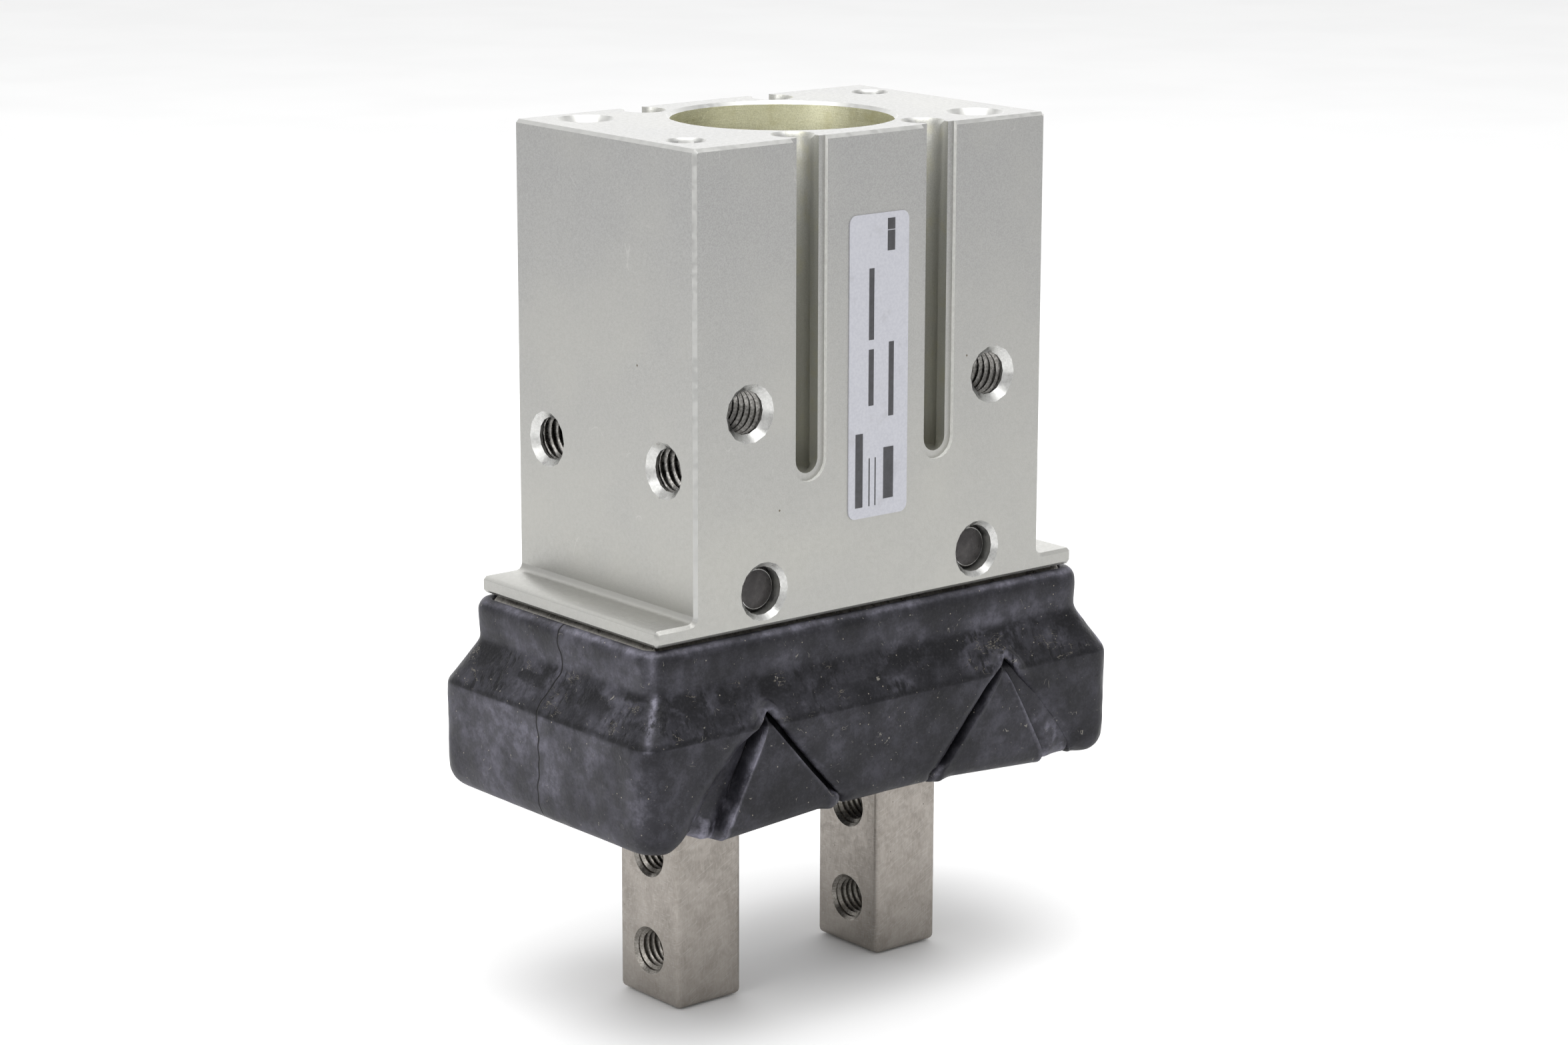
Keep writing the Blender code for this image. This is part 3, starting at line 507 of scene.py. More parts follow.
def helix(name, mouth, outward, start, end, minor, major, pitch, look, body, steps=26):
    """The ridge of an inner screw thread, from start to end below the mouth."""
    turns = (end - start) / pitch
    count = int(turns * steps)
    root = major + 0.05
    section = ((-0.47, root), (-0.09, minor), (0.09, minor), (0.47, root))
    run_out = steps * 0.35
    points = []
    for i in range(count + 1):
        a, depth = 2 * math.pi * i / steps, start + pitch * i / steps
        fade = min(1.0, i / run_out, (count - i) / run_out)
        for shift, r in section:
            r = root - (root - r) * fade
            points.append((r * math.cos(a), r * math.sin(a), -depth - shift * pitch))
    n = len(section)
    faces = [
        (i * n + j, i * n + (j + 1) % n, (i + 1) * n + (j + 1) % n, (i + 1) * n + j)
        for i in range(count) for j in range(n)
    ]
    faces += [tuple(range(n)), tuple(range(count * n, count * n + n))[::-1]]
    mesh = mesh_of(points, faces, name)
    mesh.transform(placed(mouth, outward))
    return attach(shown(name, smooth(mesh, 40), look), body)


# --- body ---
SIDES = ((-1, "left"), (1, "right"))
FACES = ((-1, "front"), (1, "rear"))
SLOT_X, SLOT_HX, SLOT_DEPTH, SLOT_LIP_DEPTH = 9.6, 2.62, 5.3, 0.56
PILOT_R, PILOT_DEPTH, PILOT_EDGE = 13.95, 11.0, 0.3
M6_MINOR, M6_MAJOR, M6_SINK_R, M6_PITCH = 2.5, 2.98, 3.35, 1.0
M6_DEPTH, M6_DEPTH_END = 11.3, 9.8
# how far down each kind of hole its countersink reaches
SINK_FACE, SINK_END, SINK_TOP = 1.25, 1.15, 2.2
SHAFT_X, SHAFT_H, SHAFT_SINK_R, SHAFT_SINK_DEPTH = 16.1, 4.15, 3.38, 1.8
FLANGE_THICK = 2.4
FLAT = 0.9  # a face whose normal has more than this along an axis lies across it

# each threaded hole: name, mouth, outward direction, where its thread starts and ends
body_holes = []
for side, name in SIDES:
    for face, place in FACES:
        mount_mouth, end_mouth = (side * 18.15, face * BODY_HY, up(24.8)), (side * BODY_HX, face * 10.95, up(18.4))
        body_holes.append((f"mount_{name}_{place}", mount_mouth, (0, face, 0), SINK_FACE, M6_DEPTH))
        body_holes.append((f"end_{name}_{place}", end_mouth, (side, 0, 0), SINK_END, M6_DEPTH_END))
    body_holes.append((f"top_{name}", (side * 19.5, -side * 11.5, 0.0), (0, 0, 1), SINK_TOP, M6_DEPTH))

drums = [drum(mouth, out, start, depth, M6_MAJOR) for _, mouth, out, start, depth in body_holes]
shell = cut_with(copy_of("body"), drums)
BODY_LOOKS = (BODY, BRIGHT_CUT, BORE, SLOT, THREAD_ROOT_SHADE, TURNED, EDGE, SLOT_LIP)
body = shown("body_block", shell, *BODY_LOOKS)
BODY_AT, CUT_AT, BORE_AT, SLOT_AT, ROOT_SHADE_AT, TURNED_AT, EDGE_AT, LIP_AT = range(len(BODY_LOOKS))
for poly in shell.polygons:
    c, n = poly.center / MM, poly.normal
    slanted = sorted(abs(v) for v in n)
    from_face = BODY_HY - abs(c.y)
    across = abs(n.y) > FLAT
    in_slot = abs(abs(c.x) - SLOT_X) < SLOT_HX and from_face < SLOT_DEPTH
    if c.z > -0.05 and n.z > FLAT:
        poly.material_index = BODY_AT
    elif math.hypot(c.x, c.y) < PILOT_R and c.z > -PILOT_DEPTH:
        poly.material_index = BORE_AT if c.z < -PILOT_EDGE else EDGE_AT
    elif in_slot and c.z < -0.02 and not (across and from_face < 0.05):
        if from_face < SLOT_LIP_DEPTH:
            poly.material_index = BODY_AT if across else LIP_AT
        else:
            poly.material_index = SLOT_AT
    elif slanted[1] > 0.35 and slanted[2] < 0.95 and c.z > FLANGE_Z + FLANGE_THICK:
        poly.material_index = EDGE_AT
for _, mouth, out, start, depth in body_holes:
    axis, mouth = Vector(out), Vector(mouth)
    # the side holes' walls get the near-black painted shade; the top holes' walls stay light
    sink, thread = (EDGE_AT, TURNED_AT) if out[2] else (CUT_AT, ROOT_SHADE_AT)
    for poly in shell.polygons:
        v = poly.center / MM - mouth
        inward = -v.dot(axis)
        if 0.001 < inward < depth + 0.3 and (v + axis * inward).length < M6_SINK_R:
            poly.material_index = sink if inward < start else thread
for side, name in SIDES:
    for poly in shell.polygons:
        v = poly.center / MM - Vector((side * SHAFT_X, 0, up(SHAFT_H)))
        if math.hypot(v.x, v.z) < SHAFT_SINK_R and BODY_HY - SHAFT_SINK_DEPTH < abs(v.y) < BODY_HY - 0.001:
            poly.material_index = CUT_AT
smooth(shell)
# large flat faces keep their own normals
for poly in shell.polygons:
    if len(poly.vertices) > 6 and max(abs(v) for v in poly.normal) > 0.9999:
        poly.use_smooth = False
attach(body, "housing")
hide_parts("body")
for name, mouth, out, start, depth in body_holes:
    helix("thread_" + name, mouth, out, start - 0.1, depth - 0.3, M6_MINOR, M6_MAJOR, M6_PITCH, THREAD, "housing")

# --- lever shafts ---
RIM_INNER, RIM_OUTER = 2.24, 2.33
for side, name in SIDES:
    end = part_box("lever_shaft_" + name)[1].y / MM
    centre = (side * SHAFT_X, 0, up(SHAFT_H))
    profile = [(0, -end), (RIM_INNER, -end), (RIM_OUTER, -end + 0.04), (2.72, -end + 0.5), (2.72, -8.6), (2.5, -8.4)]
    profile += [(r, -s) for r, s in reversed(profile)]
    mesh = smooth(turned(profile, centre, (0, 1, 0), 56))
    pin = shown(f"lever_shaft_{name}_shown", mesh, BLACK, POLISHED)
    for poly in mesh.polygons:
        v = poly.center / MM - Vector(centre)
        # the turned edge of each end is worn bright
        if RIM_INNER < math.hypot(v.x, v.z) < RIM_OUTER + 0.01 and abs(v.y) > end - 0.1:
            poly.material_index = 1
    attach(pin, "housing")
    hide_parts("lever_shaft_" + name)

# --- label ---
label_lo, label_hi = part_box("label_plate")
lx0, lx1 = label_lo.x / MM, label_hi.x / MM
lz0, lz1 = label_lo.z / MM, label_hi.z / MM
plate = plate_between(rounded(lx0, lx1, lz0, lz1, 1.0), -BODY_HY - 0.13, -BODY_HY + 0.05, "label")
label = shown("label_sticker", smooth(plate), FOIL)
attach(label, "housing")
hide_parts("label_plate")
# plain bars where a maker would print: x from the label's left side, height from its foot, width, length
bars = (
    (1.0, 1.3, 1.1, 8.6), (3.0, 1.3, 0.16, 5.6), (3.9, 1.3, 0.16, 5.6), (2.9, 13.0, 0.75, 6.5), (2.9, 20.6, 0.75, 8.2),
    (5.2, 1.9, 1.5, 6.0), (5.9, 11.5, 0.75, 8.6), (5.6, 30.6, 1.1, 2.3), (5.6, 33.0, 1.1, 1.3),
)
bm = bmesh.new()
for x, h, width, length in bars:
    bm.from_mesh(block((lx0 + x, -BODY_HY - 0.15, lz0 + h), (lx0 + x + width, -BODY_HY - 0.10, lz0 + h + length)))
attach(shown("label_bars", finished(bm, "label_print"), PRINT), "housing")

# --- fingers ---
FINGER_X, FINGER_HX, FINGER_HY = 15.3, 4.75, 5.6
CARRIAGE_FOOT = -11.6
finger_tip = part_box("finger_left")[0].z / MM - FLANGE_Z
M5_MINOR, M5_MAJOR, M5_PITCH = 2.1, 2.48, 0.8
FINGER_HOLES = (-30.1, -42.1)
# the carriage's pocket for the lever's nose, and its grooves for the balls
POCKET_SHIFT, POCKET_HX, POCKET_HY, POCKET_FOOT = 1.7, 2.9, 4.0, -8.6
GROOVE_Y, GROOVE_H, GROOVE_R = 8.2, -7.4, 1.85


def finger(side, name):
    """A finger with its carriage, pocket, ball grooves and two threaded holes."""
    centre = side * FINGER_X
    lo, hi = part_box(f"finger_{name}")
    carriage = block((lo.x / MM, lo.y / MM, up(CARRIAGE_FOOT)), (hi.x / MM, hi.y / MM, hi.z / MM), 0.4)
    bar_lo, bar_hi = (centre - FINGER_HX, -FINGER_HY, up(finger_tip)), (centre + FINGER_HX, FINGER_HY, up(-9.6))
    bar = block(bar_lo, bar_hi, 0.7, 4)
    pocket = centre - side * POCKET_SHIFT
    tools = [block((pocket - POCKET_HX, -POCKET_HY, up(POCKET_FOOT)), (pocket + POCKET_HX, POCKET_HY, up(0)))]
    for face in (-1, 1):
        tools.append(drum((centre + 15, face * GROOVE_Y, up(GROOVE_H)), (1, 0, 0), 0, 30, GROOVE_R, 24))
    # each hole has a countersink at both mouths
    wide, deep = M5_MAJOR + 1.4, FINGER_HX + 1.0
    neck = wide - M5_MAJOR - deep
    profile = ((0, -deep), (wide, -deep), (M5_MAJOR, neck), (M5_MAJOR, -neck), (wide, deep), (0, deep))
    for h in FINGER_HOLES:
        tools.append(turned(profile, (centre, 0, up(h)), (1, 0, 0)))
    mesh = cut_with(cut_with(carriage, [bar], "UNION"), tools)
    obj = shown(f"finger_{name}_shown", mesh, FINGER, FINGER_THREAD)
    for poly in mesh.polygons:
        c = poly.center / MM
        for h in FINGER_HOLES:
            if math.hypot(c.y, c.z - up(h)) < 2.95 and abs(c.x - centre) < FINGER_HX - 0.01:
                poly.material_index = 1
    smooth(mesh)
    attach(obj, f"{name}_finger")
    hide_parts(f"finger_{name}")
    for k, h in enumerate(FINGER_HOLES, 1):
        mouth, end = (centre - FINGER_HX, 0, up(h)), 2 * FINGER_HX - 0.5
        thread = f"finger_{name}_thread_{k}"
        helix(thread, mouth, (-1, 0, 0), 0.5, end, M5_MINOR, M5_MAJOR, M5_PITCH, FINGER_THREAD, f"{name}_finger")


for side, name in SIDES:
    finger(side, name)

# --- dust cover ---
# closed profile: half length, half width, corner radius, height; down the outside, under the
# turned-in foot and up the inside
OUTSIDE = (
    (31.75, 16.35, 1.8, -0.35), (32.1, 16.75, 2.0, -0.5), (32.6, 17.15, 2.3, -0.95), (32.8, 17.32, 2.4, -1.5),
    (32.75, 17.37, 2.4, -2.4), (32.6, 17.37, 2.4, -4.2), (32.5, 17.37, 2.4, -5.1), (32.75, 17.6, 2.5, -5.7),
    (34.1, 18.75, 2.8, -7.9), (35.35, 19.8, 3.0, -9.8), (35.66, 20.12, 3.0, -10.35), (35.69, 20.18, 3.0, -10.8),
    (35.62, 20.19, 3.0, -14.0), (35.5, 20.19, 3.0, -20.0), (35.4, 20.15, 3.0, -21.2), (35.1, 19.85, 3.0, -22.2),
    (34.5, 19.3, 3.0, -22.9), (33.6, 18.5, 3.0, -23.18),
)
INSIDE = (
    (32.3, 17.2, 2.6, -23.18), (31.6, 16.5, 2.4, -22.9), (31.6, 16.5, 2.4, -22.3), (32.6, 17.4, 2.6, -21.9),
    (33.6, 18.3, 2.2, -21.5), (34.1, 18.75, 2.0, -20.5), (34.25, 18.8, 2.0, -14.0), (34.25, 18.8, 2.0, -11.2),
    (33.9, 18.4, 2.0, -10.2), (31.7, 16.2, 1.8, -6.4), (31.35, 15.8, 1.6, -5.4), (31.35, 15.8, 1.6, -0.45),
)
OUTSIDE_HX, OUTSIDE_HY, _, OUTSIDE_H = np.array(OUTSIDE)[::-1].T


def wall_y(height):
    """Half width of the cover's outside at a height."""
    return np.interp(height, OUTSIDE_H, OUTSIDE_HY)


def foot_lift(x, height):
    """The cover's foot is higher between the fingers."""
    rise = np.interp(np.abs(x), (0.0, 7.0, 25.0, 36.0), (1.15, 1.05, 0.1, 0.0))
    return rise * np.clip((-13.0 - height) / 10.0, 0.0, 1.0)


def tube_mesh(sections, corner_steps=6):
    """A closed mesh round Z through rounded rectangles, whose profile is a closed loop."""
    points, n = [], 4 * (corner_steps + 1)
    for hx, hy, r, h in sections:
        points += [(x, y, up(h)) for x, y in rounded(-hx, hx, -hy, hy, r, corner_steps)]
    m = len(sections)
    faces = []
    for i in range(m):
        row, following = i * n, (i + 1) % m * n
        faces += [(row + j, row + (j + 1) % n, following + (j + 1) % n, following + j) for j in range(n)]
    return mesh_of(points, faces)


# edges of the fixed wall beside each pleat, and of the pleat's own panel, as (|x|, height)
WALL_OUTER = (
    (18.6, -8.75), (19.3, -9.6), (20.2, -10.8), (22.4, -13.0), (24.8, -15.4), (26.8, -17.7), (28.3, -19.7),
    (29.0, -20.8), (29.7, -22.0), (30.5, -23.0), (31.0, -24.6),
)
WALL_APEX = ((17.9, -8.4), (17.4, -8.7))
WALL_INNER = ((17.1, -9.35), (7.4, -21.0), (6.7, -21.9), (6.2, -24.6))
PANEL = ((17.9, -10.1), (24.9, -23.3), (8.2, -22.0))
# the right folds sit lower and less worn than the left ones: the wall's edge at the foot, and the lift of the
# outer fold's foot at |x| 26, 28.4 and 30
WALL_FOOT = {-1: WALL_OUTER[-3:], 1: ((29.35, -22.0), (29.7, -23.0), (29.9, -24.6))}
FOLD_LIFT = {-1: (0.4, 1.4, 1.7), 1: (0.1, 0.25, 0.3)}
# wear on the ridges and in the outer folds
WORN = {-1: (0.65, 0.04), 1: (0.28, 0.13)}


def wall_outer(side):
    """The fixed wall's edge on a side, down to its foot."""
    return WALL_OUTER[:-3] + WALL_FOOT[side]


def prism(outline, y0, y1):
    """A solid between two Y planes, with an outline of (x, height)."""
    return plate_between([(x, up(h)) for x, h in outline], y0, y1, "mesh")


def sweep(path, radii, segments=10):
    """A closed tube along a path of points, in millimetres."""
    points = []
    path = [Vector(p) for p in path]
    for i, p in enumerate(path):
        t = (path[min(i + 1, len(path) - 1)] - path[max(i - 1, 0)]).normalized()
        a = t.orthogonal().normalized() if i == 0 else (a - t * a.dot(t)).normalized()
        b = t.cross(a)
        for k in range(segments):
            w = 2 * math.pi * k / segments
            points.append(p + (a * math.cos(w) + b * math.sin(w)) * radii[i])
    last = (len(path) - 1) * segments
    faces = []
    for row in range(0, last, segments):
        for k in range(segments):
            j = (k + 1) % segments
            faces.append((row + k, row + j, row + segments + j, row + segments + k))
    faces += [tuple(range(segments)), tuple(range(last, last + segments))[::-1]]
    return mesh_of(points, faces)


VOXEL = 0.34
NOTCH_Y = (12.0, 26.0)
PLEAT_MIDDLE = Vector((17.9, -15.0))
# the bead round each notch: its distance outside, depth in the wall and radius, and what is added at the apex
BEAD_AWAY, BEAD_SUNK, BEAD_R = 0.30, 0.42, 0.46
BEAD_OUT_TOP, BEAD_R_TOP = 0.48, 0.18
BEAD_STEPS = 4

rim = list(WALL_OUTER[-4::-1]) + list(WALL_APEX) + list(WALL_INNER[:2])
rim_steps = []
for (x0, h0), (x1, h1) in zip(rim, rim[1:]):
    rim_steps += [(x0 + (x1 - x0) * k / BEAD_STEPS, h0 + (h1 - h0) * k / BEAD_STEPS) for k in range(BEAD_STEPS)]
rim_steps.append(rim[-1])
notches, beads = [], []
for side in (-1, 1):
    for face in (-1, 1):
        edge = list(wall_outer(side)[::-1]) + list(WALL_APEX) + list(WALL_INNER)
        notches.append(prism([(side * x, h) for x, h in edge], face * NOTCH_Y[0], face * NOTCH_Y[1]))
        path, radii = [], []
        for x, h in rim_steps:
            away = (Vector((x, h)) - PLEAT_MIDDLE).normalized() * BEAD_AWAY
            top = np.clip((h + 12.5) / 3.0, 0, 1)
            y = float(wall_y(h)) - BEAD_SUNK + BEAD_OUT_TOP * top
            path.append((side * (x + away.x), face * y, up(h + away.y)))
            radii.append(BEAD_R + BEAD_R_TOP * top)
        beads.append(sweep(path, radii))

cover_mesh = cut_with(tube_mesh(OUTSIDE + INSIDE), notches)
bm = bmesh.new()
bm.from_mesh(cover_mesh)
for bead in beads:
    bm.from_mesh(bead)
bm.to_mesh(cover_mesh)
bm.free()
work = shown("cover_work", cover_mesh)
remesh = work.modifiers.new("Voxels", "REMESH")
remesh.mode, remesh.voxel_size = "VOXEL", VOXEL * MM
ease = work.modifiers.new("Ease", "SMOOTH")
ease.factor, ease.iterations = 0.5, 5
cover_mesh = applied(work)
co = np.empty(len(cover_mesh.vertices) * 3, np.float32)
cover_mesh.vertices.foreach_get("co", co)
co = co.reshape(-1, 3).astype(float) / MM
heights = co[:, 2] - FLANGE_Z


def set_wear_and_painted_light(mesh, values):
    mesh.attributes.new("wear", "FLOAT", "POINT").data.foreach_set("value", values.astype(np.float32))


def edge_distance(x, h, line):
    """Distance from points to a polyline in the wall's plane."""
    best = np.full(len(x), 1e9)
    for (x0, h0), (x1, h1) in zip(line, line[1:]):
        dx, dh = x1 - x0, h1 - h0
        t = np.clip(((x - x0) * dx + (h - h0) * dh) / (dx * dx + dh * dh), 0, 1)
        best = np.minimum(best, np.hypot(x - x0 - t * dx, h - h0 - t * dh))
    return best


def ramp(value, zero, one):
    """0 to 1 as the value goes from zero to one, and held beyond them."""
    return np.clip((value - zero) / (one - zero), 0, 1)


def peak(value, at, width):
    return np.exp(-((value - at) / width) ** 2)


# how much each place is rubbed, with painted highlights and painted shade added below: first the edges of the notches
rim_line = list(WALL_OUTER[::-1]) + list(WALL_APEX) + list(WALL_INNER)
near = edge_distance(np.abs(co[:, 0]), heights, rim_line)
outer_near = edge_distance(np.abs(co[:, 0]), heights, WALL_OUTER[2:])
inner_near = edge_distance(np.abs(co[:, 0]), heights, WALL_INNER[:3])
on_long_wall = np.abs(co[:, 1]) > 14
wear = ramp(near, 0.7, 0) * (0.16 + 0.16 * ramp(heights, -13.0, -9.0)) * on_long_wall
# a painted highlight down the moulded corners, strongest on the flare; u and v are counted from a corner's inner end
CORNER_REACH = 2.9
u = np.abs(co[:, 0]) - (np.interp(heights, OUTSIDE_H, OUTSIDE_HX) - CORNER_REACH)
v = np.abs(co[:, 1]) - (np.interp(heights, OUTSIDE_H, OUTSIDE_HY) - CORNER_REACH)
corner_highlight = peak(u, v, 0.55) * (u > 0.8) * (v > 0.8)
on_flare = ramp(heights, -11.0, -10.2) * ramp(heights, -4.8, -5.6)
on_wall, on_neck = ramp(heights, -10.45, -10.75), ramp(heights, -5.4, -4.8)
wear += corner_highlight * (1.6 * on_flare + 0.04 * on_wall + 0.22 * on_neck)
# the end faces are paler, and so is the lower part of the neck; a painted highlight runs along the lip's edge, with a
# band of painted shade below it
wear += ramp(u, 2.1, 2.7) * (0.20 * on_wall + 0.08 * on_neck + 0.04 * on_flare)
wear += 0.10 * on_neck * ramp(heights, -2.6, -3.8) + 0.03 * on_flare
wear += 0.30 * peak(heights, -0.72, 0.26) - 0.05 * peak(heights, -1.7, 0.6)
# soft waves in the walls
for i, (x, y, z) in enumerate(co):
    soft = noise.noise(Vector((x, y, z)) * 0.16) * 0.10 + noise.noise(Vector((x, y, z)) * 0.6) * 0.03
    co[i, 1] += soft * (1 if y > 0 else -1) * (abs(y) > 15)
    co[i, 0] += soft * (1 if x > 0 else -1) * (abs(x) > 31.6)
# beside each pleat the wall curls in
curl = 1.05 * ramp(outer_near, 2.3, 0) ** 2 + 0.5 * ramp(inner_near, 1.3, 0) ** 2
curl *= ramp(heights, -9.6, -12.1) * (np.abs(co[:, 1]) > 15.5)
co[:, 1] -= np.sign(co[:, 1]) * curl
co[:, 2] += foot_lift(co[:, 0], heights)
# the waves stay inside the CAD box
COVER_HX, COVER_HY = 35.7, 20.2
co[:, 0] = np.clip(co[:, 0], -COVER_HX, COVER_HX)
co[:, 1] = np.clip(co[:, 1], -COVER_HY, COVER_HY)
cover_mesh.vertices.foreach_set("co", (co * MM).astype(np.float32).ravel())
set_wear_and_painted_light(cover_mesh, wear)
cover_mesh.shade_smooth()
cover = shown("cover_shell", cover_mesh, RUBBER)
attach(cover, "housing")
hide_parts("dust_cover")


def solid_sheet(name, outer, inner, wear=None):
    """A closed sheet from two grids of points, outer and inner, of the same shape (rows, columns, 3)."""
    rows, cols, _ = outer.shape
    points = np.concatenate([outer.reshape(-1, 3), inner.reshape(-1, 3)])
    back = rows * cols
    faces = []
    for i in range(rows - 1):
        for j in range(cols - 1):
            a, b, c, d = i * cols + j, i * cols + j + 1, (i + 1) * cols + j + 1, (i + 1) * cols + j
            faces += [(a, b, c, d), (back + d, back + c, back + b, back + a)]
    loop = list(range(cols)) + [i * cols + cols - 1 for i in range(1, rows)]
    loop += [(rows - 1) * cols + j for j in range(cols - 2, -1, -1)] + [i * cols for i in range(rows - 2, 0, -1)]
    faces += [(a, back + a, back + b, b) for a, b in zip(loop, loop[1:] + loop[:1])]
    mesh = mesh_of(points, faces, name)
    if wear is not None:
        set_wear_and_painted_light(mesh, np.tile(wear.reshape(-1), 2))
    return smooth(mesh, 50)


def edge_x(height, line):
    """|x| of an edge line at a height."""
    x, h = np.array(line)[::-1].T
    return float(np.interp(height, h, x))


# depth of the outer fold beside the ridge and at the wall's edge, and of the inner fold
RIDGE_DEPTH, EDGE_DEPTH, INNER_DEPTH = 1.85, 1.10, 2.0
PLEAT_SKIN = 0.6
PLEAT_TOP, PLEAT_FOOT = -9.0, -23.2
PLEAT_ROWS, FOOT_ROWS, FOOT_R = 46, 7, 1.6
# how far the pleat runs on behind the fixed wall
TUCK = 1.4


def pleat(side, face, name):
    """The folding part of the wall over a finger: a flush triangular panel between two folds, whose
    outer edges run behind the fixed wall."""
    (ax, ah), (ox, oh), (ix, ih) = PANEL
    slope_o = math.cos(math.atan((ox - ax) / (ah - oh)))
    slope_i = math.cos(math.atan((ax - ix) / (ah - ih)))
    grid, wear_and_fold_shade_rows = [], []
    for i in range(PLEAT_ROWS + FOOT_ROWS):
        if i < PLEAT_ROWS:
            h = PLEAT_TOP + (PLEAT_FOOT + FOOT_R - PLEAT_TOP) * i / (PLEAT_ROWS - 1)
            turn = 0.0
        else:
            h = PLEAT_FOOT + FOOT_R
            turn = (i - PLEAT_ROWS + 1) / FOOT_ROWS
        above, below = max(0.0, h - ah), max(0.0, ah - h)
        # |x| of the panel's two ridges and of the fixed wall's two edges
        po = ax + (ox - ax) * (h - ah) / (oh - ah) if h < ah else ax
        pi = ax + (ix - ax) * (h - ah) / (ih - ah) if h < ah else ax
        po, pi = max(po, ax + 0.06), min(pi, ax - 0.06)
        fo, fi = edge_x(h, WALL_APEX[:1] + wall_outer(side)), edge_x(h, WALL_APEX[:1] + WALL_INNER)
        by_ridge = po + min(0.9, (fo - po) * 0.3)
        stops, counts = (fo + TUCK, fo, by_ridge, po, pi, fi, fi - TUCK), (3, 12, 6, 26, 10, 3)
        stations = [np.linspace(a, b, n, endpoint=False) for a, b, n in zip(stops, stops[1:], counts)]
        xs = np.concatenate([*stations, stops[-1:]])
        # distance past each ridge, square to it, negative inside the panel
        s_out = (xs - po) * slope_o
        s_in = (pi - xs) * slope_i
        s = np.maximum(s_out, s_in)
        outer_side = s_out > s_in
        # past the ridge the outer fold is deepest and rises to the wall's edge; the inner one is a narrow gap
        drop = np.clip(s / np.where(outer_side, 0.55, 0.8), 0, 1)
        drop = drop * drop * (3 - 2 * drop)
        strip = max(0.3, (fo - po) * slope_o)
        outer_depth = RIDGE_DEPTH - (RIDGE_DEPTH - EDGE_DEPTH) * ramp(s_out, 0, strip)
        depth = drop * np.where(outer_side, outer_depth, INNER_DEPTH)
        bead = peak(s, 0.08, 0.22) * np.where(outer_side, 0.34, 0.16) * ramp(below, 0, 2.0)
        panel_dip = 0.30 * ramp(below, 4.0, 0) + 0.12 + 0.5 * above
        # the fold is pinched to a crack beside the ridge in its upper half
        crack = peak(s, 0.62, 0.22) * ramp(h, -10.8, -11.8) * ramp(h, -18.5, -15.5) * outer_side
        depth = depth + panel_dip - bead + 0.9 * crack
        # a slack fold: the outer one bulges out again near the foot, the inner one ends in a knob
        slack = 0.45 * peak(s_out, 2.0, 1.0) * ramp(h, -16.5, -21.5) * (s_out > 0)
        knob = 1.7 * peak(s_in, 0.8, 0.5) * ramp(h, -20.3, -21.0) * (s_in > 0)
        depth = np.maximum(depth - slack - knob, 0.05)
        # behind the fixed wall
        hidden = 2.0 + 0.6 * ramp(h, -9.6, -12.1)
        depth = np.where((xs > fo + 0.15) | (xs < fi + 0.1), np.maximum(depth, hidden), depth)
        y = wall_y(h) - depth
        z = np.full(len(xs), h)
        # round the foot under
        angle = turn * math.pi / 2 * 1.25
        y = y - 1.55 * (1 - math.cos(angle))
        z = z - 1.55 * math.sin(angle) - 0.05 * turn
        # the foot line: highest beside the fixed outer wall
        lift = np.interp(xs, (6.0, 8.4, 10.0, 24.4, 26.0, 28.4, 30.0), (0.9, 0.75, 1.05, 0.1, *FOLD_LIFT[side]))
        z = z + lift * ramp(z, -12.0, -22.5) ** 1.5
        grid.append(np.stack([side * xs, face * y, up(0) + z], axis=1))
        # the ridges are rubbed, the left ones more, and so are the folds' feet
        ridge_wear, fold_wear = WORN[side]
        wear_and_fold_shade = ridge_wear * peak(s, 0.05, 0.15) * np.where(outer_side, 1.0, 0.30) * ramp(below, 0, 1.5)
        # painted shade: darker in the pinched crack beside the ridge and down the narrow inner fold
        wear_and_fold_shade -= 0.12 * crack + 0.12 * ramp(s_in, 0.15, 0.45) - fold_wear * ramp(s_out, 0.9, 1.5)
        rubbed = np.array([noise.noise(Vector((q * 0.9, h * 0.45, side * face * 3.0))) for q in xs])
        wear_and_fold_shade += 0.36 * ramp(rubbed, 0.22, 0.32) * (s_out > 0.3) * ramp(h, -17.0, -19.5)
        wear_and_fold_shade += 0.60 * peak(s_in, 0.8, 0.45) * ramp(h, -20.0, -20.8) * (s_in > 0)
        wear_and_fold_shade += 0.65 * ramp(turn, 0, 0.5) * ramp(s_out, 0.2, 0.7)
        wear_and_fold_shade_rows.append(wear_and_fold_shade)
    outer = np.array(grid)
    # the back of the sheet, by its own normals
    normal = np.cross(np.gradient(outer, axis=1), np.gradient(outer, axis=0))
    normal /= np.maximum(np.linalg.norm(normal, axis=2, keepdims=True), 1e-9)
    normal *= np.sign((normal[:, :, 1:2] * face).mean())
    obj = shown(name, solid_sheet(name, outer, outer - normal * PLEAT_SKIN, np.array(wear_and_fold_shade_rows)), RUBBER)
    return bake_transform(obj)


for side, name in SIDES:
    for face, place in FACES:
        pleat(side, face, f"cover_pleat_{name}_{place}")

